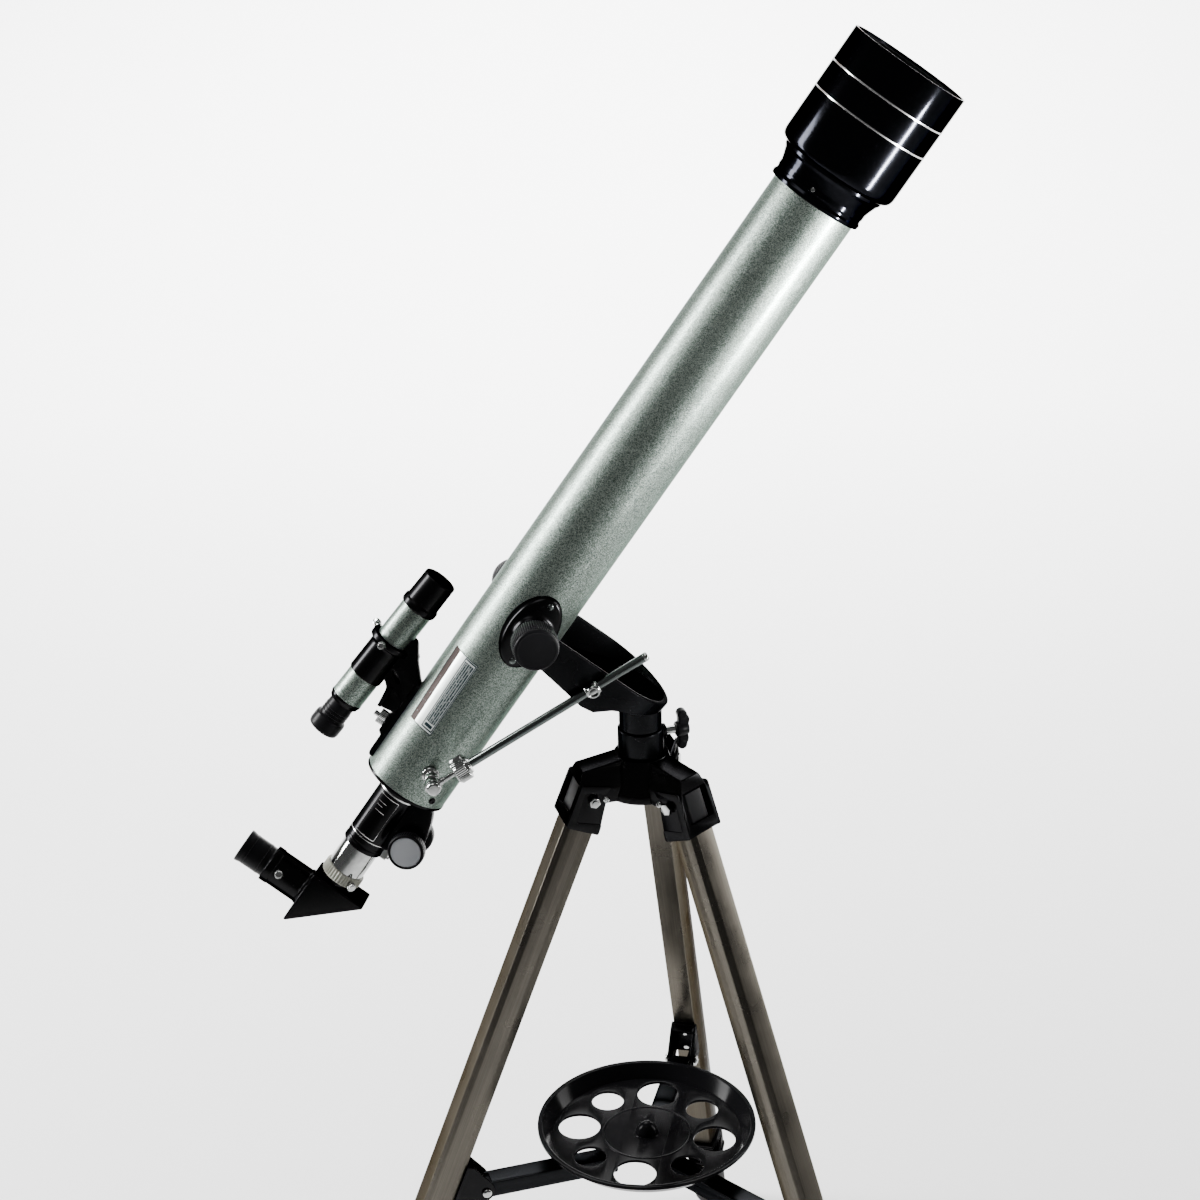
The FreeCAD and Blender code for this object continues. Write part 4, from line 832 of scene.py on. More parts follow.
def yoke_post():
    """Upright post, its top cut along the floor's underside and the strap's outer face."""
    segments = 72
    slope_cos, slope_sin = math.cos(SLOPE), math.sin(SLOPE)
    seam = HINGE_Z + 46 - PIVOT.z / MM
    levels = [[], [], [], [], []]
    for index in range(segments):
        c, s = math.cos(2 * math.pi * index / segments), math.sin(2 * math.pi * index / segments)
        x, y = POST_X + POST_RADIUS * c, POST_RADIUS * s
        rise = -15 - FLOOR_START * FLOOR_SLOPE + x * (FLOOR_SLOPE * slope_cos - slope_sin)
        plane = rise / (slope_cos + FLOOR_SLOPE * slope_sin)
        wall = (x * slope_cos - (BEND_X + math.sqrt((BEND_RADIUS + 0.75) ** 2 - y * y))) / slope_sin
        heights = ((11.0, seam - 35), (11.0, seam + 0.3), (15.1, seam + 0.3), (15.5, seam + 0.8),
                   (POST_RADIUS, max(plane, wall)))
        for level, (radius, height) in zip(levels, heights):
            level.append((POST_X + radius * c, radius * s, height))
    return sum(levels, []), ring_faces(len(levels), segments)


def build_yoke():
    ear = pipe(4.3, 11, -2.4, 2.6, 64, 0.5)
    ears = [place_mesh(ear, shift(0, BEND_RADIUS * side, 0) @ turn("X", -90 * side)) for side in (-1, 1)]
    piece("yoke_strap", merge(yoke_strap(), yoke_floor(), *ears), YOKE, ENAMEL, "mount",
          ["yoke"])
    piece("yoke_post", yoke_post(), Matrix.Translation(PIVOT), ENAMEL, "mount")


# ---------------------------------------------------------------- hub
def eased(data, width, steps=3):
    """Rounds every clear edge of a closed shell."""
    mesh = mesh_of("eased", data)
    work = bmesh.new()
    work.from_mesh(mesh)
    bmesh.ops.remove_doubles(work, verts=work.verts, dist=1e-3)
    bmesh.ops.dissolve_limit(work, angle_limit=math.radians(1), verts=work.verts, edges=work.edges)
    clear = [edge for edge in work.edges
             if len(edge.link_faces) == 2 and edge.calc_face_angle(0) > math.radians(12)]
    bmesh.ops.bevel(work, geom=clear, offset=width, segments=steps, profile=0.5, affect="EDGES",
                    clamp_overlap=True)
    work.to_mesh(mesh)
    work.free()
    return shape_of(mesh)


POCKET_HALF, POCKET_INNER, POCKET_TOP, POCKET_LOW = 12.1, 25.8, 12.4, -37      # room for a leg's head
LOCK = shift(0, 0, 39) @ turn("Z", 180) @ OUTWARD
THIRDS = [turn("Z", 120 * index) for index in range(3)]


def hub_arm():
    """One forked arm: its side outline kept where its tapered section also is, minus the leg's pocket."""
    side = [(0, -4), (0, 26), (16, 26), (47, 20.8), (62.4, -17.5), (37.6, -28), (31.5, -4)]
    flank = [(-16.8, -29), (16.8, -29), (15.2, 8), (9.6, 21), (9.6, 27), (-9.6, 27), (-9.6, 21), (-15.2, 8)]
    section = [(x, y, z) for x in (-1, 70) for y, z in flank], ring_faces(2, len(flank))
    arm = eased(carve(side_slab(side, 20, bevel=0.01, steps=0), [section], "INTERSECT"), 1.3)
    pocket = [(POCKET_INNER, POCKET_TOP), (80, POCKET_TOP), (80, -9.5), (58.2, -9.5), (68.5, POCKET_LOW),
              (POCKET_INNER, POCKET_LOW)]
    return carve(arm, [side_slab(pocket, POCKET_HALF, bevel=0.3)])


def build_hub():
    core = lathe([(0, -4), (28, -4), (27.4, 1), (21.5, 20), (19.5, 26), (0, 26)], 72, 0.6)
    pocket = side_slab([(POCKET_INNER, POCKET_TOP), (80, POCKET_TOP), (80, POCKET_LOW),
                        (POCKET_INNER, POCKET_LOW)], POCKET_HALF, bevel=0.3)
    arm, bore = hub_arm(), rod(11.05, 8, 60, 64, 0)
    arms = [carve(place_mesh(arm, spin), [bore]) for spin in THIRDS]
    body = merge(carve(core, [place_mesh(pocket, spin) for spin in THIRDS] + [bore]), *arms)
    piece("hub_moulding", body, HUB, BLACK, "base", ["hub"], 28)
    sleeve = lathe([(11.1, 22), (16.7, 22), (16.7, 45.2), (16.2, 45.8), (11.1, 45.8)], 96, 0.4)
    sleeve = carve(sleeve, [place_mesh(rod(3.1, 5, 25, 32, 0), LOCK)])
    piece("hub_collar", sleeve, HUB, ENAMEL, "base")
    boss = place_mesh(pipe(3.1, 5.6, 14, 18.6, 40, 0.5), LOCK)
    piece("hub_lock_boss", boss, HUB, BLACK, "base")
    outline = rounded([(27, 9), (49.5, 13.5), (62.2, -18.2), (38.2, -28.6), (35.4, -20), (54.3, -15.2),
                       (47.2, 6.6), (31, 4)], 2)
    rim = side_slab(outline, 0.8, bevel=0.3)
    rivet = pan_head(2.6, 1.8, 0)
    rims, rivets = [], []
    for spin in THIRDS:
        for side in (-1, 1):
            rims.append(place_mesh(rim, spin @ shift(0, side * 15.9, 0)))
            rivets.append(place_mesh(rivet, spin @ shift(31.5, side * 15.4, -0.5) @ turn("X", -90 * side)))
    piece("hub_rims", merge(*rims), HUB, BLACK, "base")
    bolt = merge(rod(2.5, -17, 17, 32, 0), hexagon(8, 16.8, 20.2), rod(2.4, -21.5, -16, 32, 0.4),
                 hexagon(7.6, -20.2, -16.8))
    bolts = [place_mesh(bolt, STAND.inverted() @ leg @ turn("X", 90)) for leg in LEGS]
    piece("hinge_bolt_set", merge(*bolts), STAND, CHROME, "base", ["hinge_bolts"])
    piece("hub_rivets", merge(*rivets), HUB, CHROME, "base")


def build_azimuth_lock():
    place = HUB @ LOCK
    piece("azimuth_lock_shank", rod(2.95, 11.4, 27.5), place, CHROME, "azimuth_lock")
    hub = lathe([(0, 26.5), (5.3, 26.5), (5.8, 28), (5.8, 31), (4.8, 36), (0, 36.4)], 48, 0.6)
    wing = [(-13.4, 30.6), (-12.6, 34.2), (-8, 37.0), (-3, 35.6), (3, 35.2), (8, 36.4), (12.4, 34.4),
            (13.4, 30.4), (12.4, 27.6), (7.5, 28.2), (-7.5, 28.2), (-12.2, 27.8)]
    tips = [place_mesh(rod(3.6, -3.6, 3.6, 32, 1.0), shift(x, 0, 31) @ turn("X", 90)) for x in (12, -12)]
    blade = moulded(merge(side_slab(rounded(wing, 2.4), 3.2, bevel=1.0), *tips), 0.45, 4)
    piece("azimuth_lock_wing", merge(hub, blade), place, SATIN, "azimuth_lock",
          ["azimuth_knob"], 40)


# ---------------------------------------------------------------- legs
def leg_section(inset=0.0, bevel=3.5):
    half, back = 11.7 - inset, 8.6 - inset * 0.8
    edge = [(half, half - bevel), (half - bevel, half), (half * 0.12, half), (-half * 0.38, half - 0.85),
            (-half, back)]
    return rounded(edge + [(x, -y) for x, y in reversed(edge)], 0.7, 3)


LEG_END, LOWER_END = -505, -566
CLAMP_SCREW = shift(0, 0, -514) @ OUTWARD
LEG_LEAN = math.radians(21.31)


def foot_outline():
    """Ball foot with two grooves and a sleeve round the end of the lower leg."""
    radius, groove = 14, 13.3
    centre = -(HINGE_Z - radius) / math.cos(LEG_LEAN)
    ball = [math.radians(a) for a in (0, 15, 30, 45, 60, 75, 90)]
    outline = [(radius * math.sin(a), centre - radius * math.cos(a)) for a in ball]
    for top in (6, 14):
        outline += [(radius, centre + top), (groove, centre + top + 1), (groove, centre + top + 3),
                    (radius, centre + top + 4)]
    return outline + [(radius, centre + 36.5), (13, centre + 38), (12.4, centre + 38), (12.4, LOWER_END),
                      (0, LOWER_END)]


def clamp_collar():
    """Collar round a leg's lower end, with two lips and the clamp screw's boss."""
    cut = [place_mesh(slab(leg_section(0), 0, 14.2, bevel=0.05), shift(0, 0, LEG_END)),
           place_mesh(rod(3.1, 5, 25, 32, 0), CLAMP_SCREW)]
    shell = carve(slab(leg_section(-3, 4.6), -523, -491, [leg_section(1.5)], 0.9), cut)
    lips = [slab(leg_section(-3.7, 4.8), low, low + 4, [leg_section(inset)], 0.8)
            for low, inset in ((-496.5, 0.2), (-521.5, 1.6))]
    return merge(shell, *lips, place_mesh(pipe(3.3, 6.8, 10, 16.4, 48, 0.6), CLAMP_SCREW))


def clamp_knob():
    """Six-lobed knob of the clamp screw."""
    def lobes(r, z, angle):
        return r if r < 6 else r - 1.1 * (0.5 - 0.5 * math.cos(6 * angle))
    profile = [(0, 10.4), (2.95, 10.4), (2.95, 16.8), (7.6, 16.8), (9.2, 18.4), (9.2, 26.2), (7.6, 28.2),
               (0, 28.2)]
    return place_mesh(lathe(profile, 96, 0.9, wave=lobes), CLAMP_SCREW)


def build_legs():
    upper = slab(leg_section(), LEG_END, -16, [leg_section(1.5)], 0.3)
    head = slab(leg_section(0.25), -17, 6.6, bevel=0.8)
    lower = slab(leg_section(1.85), LOWER_END, -190, [leg_section(3.35)], 0.3)
    foot, clamp, knob = lathe(foot_outline(), 72, 0.4), clamp_collar(), clamp_knob()
    for k, place in enumerate(LEGS, start=1):
        leg, low = "leg_%d" % k, "lower_leg_%d" % k
        piece(leg + "_extrusion", upper, place, LEG_METAL, leg, [leg])
        piece(leg + "_head", head, place, SATIN, leg)
        piece(low + "_extrusion", lower, place, LEG_METAL, low, [low])
        piece("foot_%d_rubber" % k, foot, place, RUBBER, low, ["foot_%d" % k])
        piece("leg_clamp_%d_collar" % k, clamp, place, BLACK, leg, ["leg_clamp_%d" % k])
        screw = "leg_screw_%d" % k
        piece(screw + "_knob", knob, place, SATIN, screw, [screw])


def brace_bracket():
    """Clevis on the inner face of a leg, and its two rivets."""
    px, pz = -34.3, -335.5                               # the brace pin in the leg's own frame
    cheek = rounded([(-12.2, pz + 19), (-12.2, pz - 17), (-21, pz - 17), (px - 3, pz - 8), (px - 6.6, pz - 2),
                     (px - 6.6, pz + 3), (px - 2, pz + 8), (-17, pz + 19)], 2.4)
    plate = side_slab(cheek, 0.95, [circle(2.0, 20, (px, pz))], 0.3)
    plates = [place_mesh(plate, shift(0, side * 9.2, 0)) for side in (-1, 1)]
    base = brick((-14.2, -10.2, pz - 17), (-11.6, 10.2, pz + 19), 0.6)
    rib = brick((-20, -8.4, pz + 15), (-12, 8.4, pz + 18.4), 0.6)
    rivet = lathe([(0, 13.6), (2.6, 13.6), (2.2, 15.0), (0, 15.5)], 32, 0.3)
    rivets = [place_mesh(rivet, shift(0, 0, pz + dz) @ turn("Y", -90)) for dz in (-11, 8)]
    return merge(base, rib, *plates), merge(*rivets)


def brace_pin():
    head = lathe([(0, 10.1), (4, 10.1), (3.6, 12.0), (2.2, 13.0), (0, 13.2)], 40, 0.4)
    pin = merge(rod(2.0, -10.3, 10.3, 32, 0), head, hexagon(7, -13.2, -10.2), rod(1.9, -14, -12, 24, 0.3))
    return place_mesh(pin, turn("X", 90))


def brace_channel():
    """Folded arm: a roof and two flanks with their pin holes."""
    end = 105
    side = rounded([(-4, 6.5), (-6, 3.5), (-6, -3.5), (-4, -6.5), (end, -6.5), (end, 6.5)], 1.5)
    flank = side_slab(side, 1.0, [circle(2.05, 20), circle(2.2, 20, (98, -1))], 0.35)
    roof = slab(rounded([(5, -8), (end, -8), (end, 8), (5, 8)], 0.8, 2), 4.5, 6.5, bevel=0.5)
    return merge(roof, *[place_mesh(flank, shift(0, side * 7.0, 0)) for side in (-1, 1)])


def build_braces():
    clevis, rivets = brace_bracket()
    pin, channel = brace_pin(), brace_channel()
    for k, (leg_place, place) in enumerate(zip(LEGS, BRACES), start=1):
        leg, bracket, arm = "leg_%d" % k, "brace_bracket_%d" % k, "brace_arm_%d" % k
        piece(bracket + "_clevis", clevis, leg_place, BLACK, leg, [bracket])
        piece(bracket + "_rivets", rivets, leg_place, CHROME, leg)
        piece("brace_pin_%d_bolt" % k, pin, place, CHROME, leg, ["brace_pin_%d" % k])
        piece(arm + "_channel", channel, place, ENAMEL, arm, [arm])


def build_tray():
    """Dish with holes of two sizes in turn, the plate under it and its centre knob."""
    hole_circle = 52.8
    holes = []
    for index in range(8):
        a = math.radians(45 * index)
        radius, count = ((16.1, 56), (12.45, 48))[index % 2]
        holes.append(circle(radius, count, (hole_circle * math.cos(a), hole_circle * math.sin(a))))
    holes.append(circle(3.2, 24))
    floor = slab(circle(73.6, 160), -2.2, 0, holes, 0.5, 3)
    rim = lathe([(72.4, -2.2), (73.4, -2.2), (81.6, 7.2), (84, 7.2), (84, 10), (80.4, 10), (72.4, 0.0)],
                200, 0.7)
    ring = lathe([(31.8, -0.5), (32.8, 0.32), (33.6, 0.5), (34.4, 0.32), (35.2, -0.5)], 160, 0.3)
    hub = lathe([(3.2, -0.3), (9.6, -0.3), (9.0, 0.5), (3.2, 0.5)], 64, 0.2)
    piece("tray_dish", merge(floor, rim, ring, hub), TRAY, TRAY_BLACK, "tray",
          ["accessory_tray"])
    plate = lathe([(0, -PLATE_RISE), (28, -PLATE_RISE), (30, 2 - PLATE_RISE), (30, -2.25), (3, -2.25),
                   (3, 7), (0, 7)], 96, 0.5)
    piece("brace_plate_disc", plate, TRAY, BLACK, "tray", ["brace_plate"])
    knob = [(3.1, 0.55), (7.8, 0.55), (8.4, 1.2), (8.3, 2.6), (7.6, 4.6), (6.4, 6.6), (4.6, 8.4),
            (2.4, 9.6), (0, 10), (0, 7.4), (3.1, 7.4)]
    piece("tray_knob_dome", lathe(knob, 72, 0.5, True), TRAY, TRAY_BLACK, "tray_knob",
          ["tray_knob"])


# ---------------------------------------------------------------- focuser
PINION_X, PINION_Z, PITCH_RADIUS, TEETH = 28, -190, 7.2, 16
PINION = shift(PINION_X, 0, PINION_Z)


def focuser_lines():
    """Printed frame and three short rules on the barrel: (start and end angle, start and end height)."""
    radius, steps = 15.22, 12
    lines = []
    for a0, a1, s0, s1 in ((228, 288, -166, -166), (228, 288, -200, -200), (228, 228, -166, -200),
                           (288, 288, -166, -200), (236, 262, -171.5, -171.5), (236, 256, -174.5, -174.5),
                           (240, 270, -178.5, -178.5)):
        points = []
        for i in range(steps + 1):
            a = math.radians(a0 + (a1 - a0) * i / steps)
            points.append((radius * math.cos(a), radius * math.sin(a), s0 + (s1 - s0) * i / steps))
        lines.append(tube_curve(points, 0.34))
    return merge(*lines)


def build_focuser():
    """Barrel with its flange, the pinion's housing and cross barrel, all open round the rack and pinion."""
    body = lathe([(13.75, -212.5), (14.6, -212.5), (15.3, -211.9), (15.3, -209), (15.0, -208.6),
                  (15.0, -207), (15.2, -206.6), (15.2, -163), (16.4, -158.5), (24, -156.4), (31.0, -155.4),
                  (31.75, -154.8), (31.75, -152.9), (30.3, -152.9), (30.3, -137), (27.4, -137),
                  (27.4, -150), (17, -150), (17, -137), (13.75, -137)], 140, 0.5)
    slot = brick((11, -2.9, -226), (23, 2.9, -100), 0.1)
    housing = side_slab(rounded([(9, -154.6), (24.5, -154.6), (31.5, -168), (35.6, -180), (37.0, -188),
                                 (33, -196), (22, -199.5), (11, -205)], 2.2), 9, bevel=0.9)
    lip = side_slab(rounded([(12, -156), (26.5, -156), (27.5, -159.5), (12, -159.5)], 0.6), 10.4, bevel=0.4)
    across = PINION @ turn("X", 90)
    barrel = lathe([(2.6, -11), (8.4, -11), (8.9, -10.2), (8.9, 10.2), (8.4, 11), (2.6, 11)], 72, 0.4)
    cavity = place_mesh(rod(8.2, -5.6, 5.6, 48, 0), across)
    bore = rod(13.76, -230, -100, 96, 0)
    shells = merge(carve(body, [slot]), carve(housing, [slot, bore, cavity]), carve(lip, [slot, bore]),
                   carve(place_mesh(barrel, across), [cavity]))
    piece("focuser_housing", shells, ACC, BLACK, "tube", ["focuser_body"])
    piece("focuser_trim_lines", focuser_lines(), ACC, SILVER, "tube")
    band = merge(pipe(15.0, 15.5, -163.4, -162.2, 96, 0.1), pipe(15.0, 15.4, -202.6, -202.0, 96, 0.1))
    piece("focuser_trim_band", band, ACC, SILVER, "tube")


def build_focus_drive():
    """Two ridged knobs with grey caps, and the shaft between them with its pinion."""
    ridges = knurled(13.4, 13.6, 21.6, 48, 0.4, 6)
    back = lathe([(0, 11.4), (6, 11.4), (6.4, 12.8), (12.2, 12.9), (12.8, 14), (0, 15)], 72, 0.3)
    rim = lathe([(10.9, 18), (13.0, 18), (13.1, 22.0), (12.5, 22.9), (11.4, 23), (10.9, 22.4)], 96, 0.4)
    cap = lathe([(0, 19), (11.1, 19), (11.1, 22.3), (10.6, 22.75), (0, 22.75)], 96, 0.3)
    grip = merge(ridges, back, rim)
    sides = [PINION @ turn("X", -90 * side) for side in (-1, 1)]
    grips, caps = [place_mesh(grip, away) for away in sides], [place_mesh(cap, away) for away in sides]
    piece("focus_knob_grips", merge(*grips), ACC, SATIN, "focus_drive", ["focus_knobs"])
    piece("focus_knob_caps", merge(*caps), ACC, GREY, "focus_drive")

    def teeth(r, z, angle):
        if r < 5 or abs(z) > 4.6:
            return r
        return 6.0 + 1.75 * max(0.0, min(1.0, 0.5 + 1.4 * math.cos(TEETH * angle + math.pi)))
    shaft = lathe([(0, -20), (2.5, -20), (2.5, -5), (7.6, -4.5), (7.6, 4.5), (2.5, 5), (2.5, 20), (0, 20)],
                  192, 0, wave=teeth)
    shaft = place_mesh(shaft, PINION @ turn("X", 90) @ turn("Z", 360 / TEETH))
    piece("focus_pinion_gear", shaft, ACC, BRASS, "focus_drive", ["focus_pinion"])


def build_drawtube():
    """Tube with the rack along its lower side, and the ridged end ring with its screw."""
    tube = pipe(12.6, 13.7, -234, -130, 120, 0.25)
    pitch = PITCH_RADIUS * 2 * math.pi / TEETH
    crest, root = PINION_X - PITCH_RADIUS + 0.7, PINION_X - PITCH_RADIUS - 1.1
    outline = [(13.2, -212), (root, -212)]
    centre = PINION_Z - pitch * 7
    for index in range(28):
        middle = centre + index * pitch
        outline += [(root, middle - 0.72), (crest, middle - 0.32), (crest, middle + 0.32),
                    (root, middle + 0.72)]
    outline += [(root, -130), (13.2, -130)]
    rack = side_slab(outline, 2.5, bevel=0.08)
    piece("drawtube_chrome", merge(tube, rack), ACC, CHROME, "draw", ["drawtube"])
    ring = knurled(15.3, -241.9, -234.4, 40, 1.1, 12.35, 0.5)
    edge = lathe([(12.35, -242.4), (14.6, -242.4), (14.9, -241.4), (12.35, -241.4)], 96, 0.2)
    piece("drawtube_ring_knurl", merge(ring, edge), ACC, PALE, "draw", ["drawtube_ring"])
    place = shift(0, 0, -238.2) @ turn("Z", -56) @ OUTWARD
    piece("drawtube_screw_thumb", thumb_screw(12.7, 16.4), ACC @ place, CHROME, "draw_screw",
          ["drawtube_screw"])


def thumb_screw(tip, head):
    shank = rod(1.45, tip, head + 0.4, 24, 0.1)
    grip = knurled(3.2, head + 1.2, head + 4.2, 22, 0.3, 0.6, 0.5)
    neck = rod(2.3, head, head + 1.6, 32, 0.2)
    cap = lathe([(0, head + 3.4), (2.6, head + 3.4), (2.4, head + 4.8), (0, head + 5)], 32, 0.3)
    return merge(shank, grip, neck, cap)


TURN_HEIGHT = -264.7                                     # where the light path turns, on the tube's axis
EYEPIECE = ACC @ shift(0, 0, TURN_HEIGHT) @ turn("Y", -90)


def build_diagonal():
    """Wedge-shaped prism housing with its nose, and the holder that the eyepiece slides in."""
    near, far, face = -16.6, 26.8, -246.7
    reach = far - near
    wedge_outline = rounded([(near, face), (far - 1.2, face), (far - 0.4, face - 1.6),
                             (near + 1.6, face - reach + 1.2), (near, face - reach + 1.2)], 1.6)
    block = side_slab(wedge_outline, 14.85, bevel=0.9)
    cavity = side_slab([(near + 2.6, face - 2.6), (far - 7, face - 2.6), (near + 2.6, face - reach + 7)],
                       11.4, bevel=0.1)
    light_in = rod(11, face - 6, face + 30, 64, 0)
    out = ACC.inverted() @ EYEPIECE
    light_out = place_mesh(rod(11, 8, 20, 64, 0), out)
    seat = place_mesh(rod(12.3, 18.6, 60, 64, 0), out)
    nose = pipe(11, 12.25, face - 2, -222, 96, 0.2)
    holder = place_mesh(lathe([(12.35, 16.2), (13.6, 16.2), (13.6, 41.8), (14.1, 42.3), (14.1, 47.6),
                               (13.6, 48.2), (12.35, 48.2)], 96, 0.3), out)
    flange = place_mesh(lathe([(11, 14), (14.3, 14), (14.3, 17.6), (13.8, 18.6), (11, 18.6)], 96, 0.4), out)
    shells = merge(carve(block, [cavity, light_in, light_out, seat]), nose, holder,
                   carve(flange, [light_out]))
    piece("diagonal_shell", shells, ACC, BLACK, "diagonal", ["diagonal_housing"])
    prism = side_slab([(near + 2.9, face - 2.9), (14.9, face - 2.9), (near + 2.9, TURN_HEIGHT - 13.6)],
                      10.7, bevel=0.2)
    piece("diagonal_prism_glass", prism, ACC, LENS, "diagonal", ["diagonal_prism"])


def build_eyepiece():
    """Barrel with a stepped, ribbed end, its field lens, and the screw that holds it."""
    body = lathe([(10.6, 21), (12.2, 21), (12.2, 48.3), (11.8, 48.8), (11.8, 51), (12.0, 51.4),
                  (12.1, 66.2), (12.7, 69.0), (12.7, 70.3), (12.2, 70.8), (10.4, 70.8), (6.2, 67.6),
                  (0, 67.3), (0, 65), (8, 65), (8, 44), (10.6, 44)], 96, 0.3, True)
    grip = [lathe([(11.7, low), (12.35, low + 0.2), (12.35, low + 0.6), (11.7, low + 0.8)], 96, 0.1, True)
            for low in (52.5, 63.6)]
    piece("eyepiece_barrel", merge(body, *grip), EYEPIECE, SATIN, "eyepiece",
          ["eyepiece"])
    lens = lathe([(0, 67.1), (6.4, 67.1), (6.2, 67.9), (0, 68.6)], 64, 0.1)
    piece("eyepiece_lens", lens, EYEPIECE, LENS, "eyepiece")
    screw_place = shift(-37.2, 0, TURN_HEIGHT) @ turn("X", 78)
    piece("eyepiece_screw_thumb", thumb_screw(12.7, 14.8), ACC @ screw_place, CHROME, "eyepiece_screw",
          ["eyepiece_screw"])


# ---------------------------------------------------------------- finder
def build_finder_tube():
    """Painted barrel between a black hood and a rear adapter, with its front lens."""
    hood = lathe([(11.3, 0), (12.0, -0.2), (12.3, -0.8), (12.6, -21.4), (13.5, -22.2), (13.7, -23),
                  (13.7, -26), (13.3, -27), (11.9, -27.4), (10.9, -27.4), (10.9, -22), (11.3, -20)],
                 96, 0.3)
    rear = lathe([(10.5, -111.4), (12.2, -111.4), (12.3, -113), (11.6, -114.6), (11.3, -116), (9.65, -116),
                  (9.65, -106), (10.5, -106)], 96, 0.3)
    piece("finder_hood_and_adapter", merge(hood, rear), FINDER, BLACK, "tube",
          ["finder_tube"])
    barrel = pipe(10.9, 12.0, -27.2, -111.8, 120, 0.2)
    piece("finder_barrel_painted", barrel, FINDER, PAINT, "tube")
    front = lathe([(0, -26)] + [(10.9, -26), (10.9, -23.8)] + dome(10.9, 60, -22.9, 8, 1), 72, 0)
    piece("finder_front_lens", front, FINDER, LENS, "tube")


def build_finder_eyepiece():
    eye = lathe([(8, -107), (9.6, -107), (9.6, -130.2), (11.0, -130.6), (11.6, -131.4), (11.8, -133),
                 (11.8, -139.5), (11.3, -141.4), (10.4, -142), (6.5, -142), (5.6, -139.2), (0, -139),
                 (0, -137), (8, -137)], 96, 0.35, True)
    ribs = [lathe([(9.4, low), (10.0, low + 0.3), (10.0, low + 1.2), (9.4, low + 1.5)], 96, 0.1, True)
            for low in (-128.6, -126.0, -123.4)]
    piece("finder_eyepiece_body", merge(eye, *ribs), FINDER, SATIN, "finder_eye",
          ["finder_eyepiece"])


def build_finder_bracket():
    """Sleeve round the finder, a stem with a window, and a rail on the tube with its clamp nut."""
    sleeve = lathe([(12.05, -90), (12.8, -90), (13.0, -89.4), (13.0, -64), (13.6, -62.2), (15.6, -61.2),
                    (16, -60.4), (16, -57.2), (15.4, -56.8), (12.05, -56.8)], 96, 0.4)
    bracket_place = ACC.inverted() @ FINDER
    sleeve = place_mesh(sleeve, bracket_place)
    stem_outline = rounded([(-30, -88), (-30, -113), (-37, -114.5), (-45.5, -116), (-48.5, -115),
                            (-50, -101.5), (-61, -93), (-63, -62), (-50, -62), (-41, -76), (-33, -85)], 3)
    window = [(-48.5 + 4.4 * math.cos(t) - 1.2 * math.sin(t), -91.5 + 2.3 * math.sin(t) - 2.2 * math.cos(t))
              for t in [2 * math.pi * i / 24 for i in range(24)]]
    stem = side_slab(stem_outline, 6.0, [window], 1.0)
    toe = brick((-48.5, -8, -116), (-45.6, 8, -99), 0.8)
    rail_outline = rounded([(-29, -86), (-29, -150), (-33.6, -150), (-34.6, -147), (-34.6, -132.5),
                            (-37.4, -131), (-37.9, -118.5), (-35, -114), (-34.2, -88)], 1.4)
    rail = side_slab(rail_outline, 8.0, bevel=0.8)
    cutter = rod(31.35, -200, 0, 120, 0)
    bore = place_mesh(rod(12.1, -120, -30, 72, 0), bracket_place)
    shells = merge(sleeve, carve(stem, [cutter, bore]), toe, carve(rail, [cutter]))
    piece("finder_bracket_casting", shells, ACC, BLACK, "tube", ["finder_bracket"])
    stud = lathe([(0, 34), (2, 34), (2, 47), (0, 47.4)], 32, 0.3)
    nut = merge(knurled(5.6, 35.0, 43.5, 30, 0.3, 0.8, 0.7), stud)
    nut = place_mesh(nut, shift(0, 0, -123.5) @ turn("Y", -90))
    piece("finder_clamp_nut", nut, ACC, SILVER, "tube")


def build_finder_screws():
    cap = lathe([(0, 10.6), (2.3, 10.6), (2.1, 12), (0, 12.2)], 32, 0.3)
    grip = knurled(2.9, 7.4, 11.2, 20, 0.3, 0.6, 0.5)
    screw = merge(rod(1.25, 0.2, 8, 24, 0.1), grip, rod(1.9, 5.6, 7.8, 32, 0.2), cap)
    screws = [place_mesh(screw, shift(0, 0, -58.7) @ turn("Z", angle) @ OUTWARD @ shift(0, 0, 12))
              for angle in (140, 260, 20)]
    piece("finder_screw_set", merge(*screws), FINDER, CHROME, "tube", ["finder_screws"])


# ---------------------------------------------------------------- stage, light, camera
CAMERA_BEARING, CAMERA_TILT, CAMERA_ROLL = math.radians(8.39), math.radians(24.715), math.radians(-1.24)
CAMERA_SPOT = (-294.7, -1811.8, 1544.1)                  # from the azimuth axis on the floor


def build_stage():
    """Floor that curves up into a backdrop behind the object, square to the camera."""
    n = Nodes("studio_floor")
    cloud = n.noise(1.5, 2)
    n.set(Base_Color=n.blend(cloud, (0.9, 0.9, 0.9), (0.93, 0.93, 0.93)), Roughness=0.85)
    mesh = bpy.data.meshes.new("studio_floor")
    work = bmesh.new()
    half_width = 10
    profile = [(-9, 0), (2.2, 0), (2.9, 0.12), (3.5, 0.45), (3.9, 1.0), (4.05, 1.8), (4.05, 7)]
    across = Vector((math.cos(CAMERA_BEARING), -math.sin(CAMERA_BEARING), 0))
    ahead = Vector((-across.y, across.x, 0))
    rows = []
    for distance, height in profile:
        middle = ahead * distance + Vector((0, 0, height - 0.0005))
        rows.append([work.verts.new(middle + across * side) for side in (-half_width, half_width)])
    for low, high in zip(rows, rows[1:]):
        work.faces.new((low[0], low[1], high[1], high[0]))
    work.to_mesh(mesh)
    work.free()
    mesh.shade_smooth()
    mesh.materials.append(n.material)
    floor = linked("studio_floor", mesh)


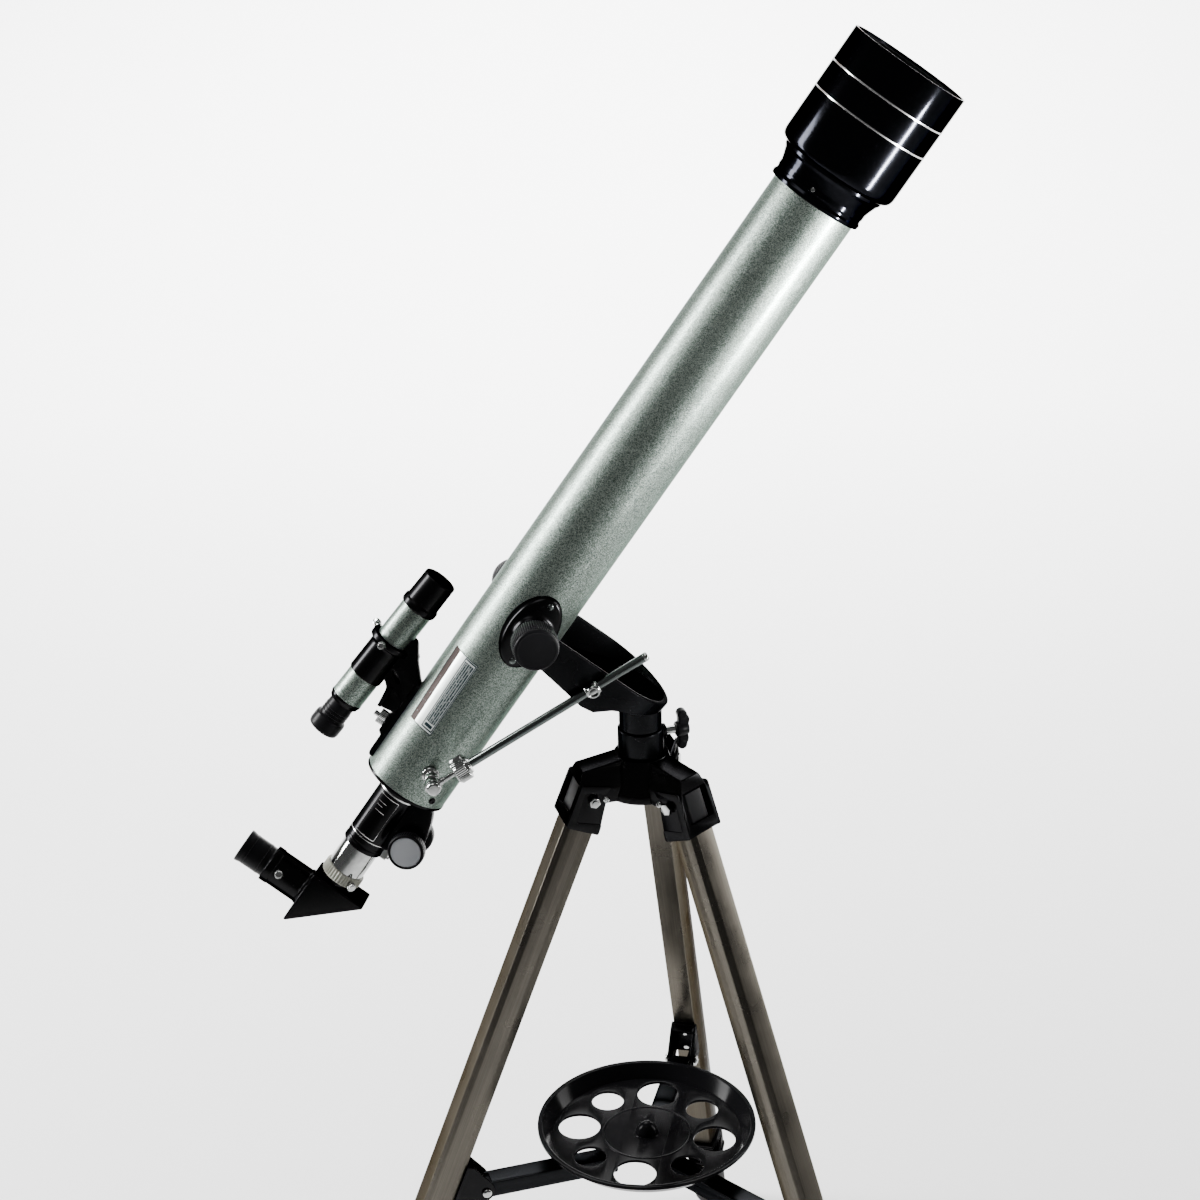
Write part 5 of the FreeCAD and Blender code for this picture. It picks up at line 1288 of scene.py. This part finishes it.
# name, place, target (metres), width, height (metres), power (watts), spread (degrees)
LAMPS = (("streak", (0.544, -0.445, 0.711), (0.201, -0.061, 1.019), 0.034, 0.27, 7.0, 90),
         ("side_left", (-1.85, 0.55, 1.40), (0.0, 0.0, 0.70), 0.45, 1.5, 60, 120),
         ("side_right", (2.10, 0.20, 0.95), (0.05, 0.0, 0.5), 0.5, 1.5, 22, 120),
         ("overhead", (-0.5, -0.6, 3.2), (0.0, 0.0, 0.6), 1.4, 1.4, 8, 120),
         ("backdrop", (0.4, 2.9, 3.2), (0.4, 2.9, 0.0), 3.0, 1.6, 330, 100))


def build_lights():
    """White surround and five lamps; the streak lamp is rolled to lie along the tube."""
    world = bpy.data.worlds.new("studio")
    bpy.context.scene.world = world
    world.use_nodes = True
    sky = world.node_tree.nodes["Background"].inputs
    sky["Color"].default_value = (1.0, 1.0, 1.0, 1)
    sky["Strength"].default_value = 0.12
    for name, spot, target, width, height, power, spread in LAMPS:
        lamp = bpy.data.lights.new(name, "AREA")
        lamp.shape = "RECTANGLE"
        lamp.size, lamp.size_y, lamp.energy = width, height, power
        lamp.spread = math.radians(spread)
        holder = linked(name, lamp)
        holder.location = spot
        holder.rotation_mode = "QUATERNION"
        facing = (Vector(target) - Vector(spot)).to_track_quat("-Z", "Y")
        if name == "streak":
            lean = facing.inverted() @ (TUBE.to_3x3() @ Vector((0, 0, 1)))
            facing = facing @ Quaternion((0, 0, 1), math.atan2(-lean.x, lean.y))
        holder.rotation_quaternion = facing
        holder.visible_camera = False


def build_camera():
    camera = bpy.data.cameras.new("camera")
    camera.sensor_width, camera.lens = 36.0, 85.966
    camera.clip_start, camera.clip_end = 0.05, 60
    holder = linked("camera", camera)
    level = Vector((math.sin(CAMERA_BEARING), math.cos(CAMERA_BEARING), 0))
    forward = level * math.cos(CAMERA_TILT) - Vector((0, 0, math.sin(CAMERA_TILT)))
    right = Vector((math.cos(CAMERA_BEARING), -math.sin(CAMERA_BEARING), 0))
    up = right.cross(forward)
    x = right * math.cos(CAMERA_ROLL) + up * math.sin(CAMERA_ROLL)
    y = up * math.cos(CAMERA_ROLL) - right * math.sin(CAMERA_ROLL)
    matrix = Matrix((x, y, -forward)).transposed().to_4x4()
    matrix.translation = AXIS_XY.xy.to_3d() + Vector(CAMERA_SPOT) * MM
    holder.matrix_world = matrix
    bpy.context.scene.camera = holder


for build in (build_main_tube, build_objective_cell, build_dew_shield, build_lenses, build_tube_screws,
              build_label, build_side_plates, build_altitude_knobs, build_guide_stud, build_guide_screw,
              build_guide_nut, build_guide_rod, build_rod_swivel, build_yoke, build_hub,
              build_azimuth_lock, build_legs, build_braces, build_tray, build_focuser, build_focus_drive,
              build_drawtube, build_diagonal, build_eyepiece, build_finder_tube, build_finder_eyepiece,
              build_finder_bracket, build_finder_screws, build_stage, build_lights, build_camera):
    build()
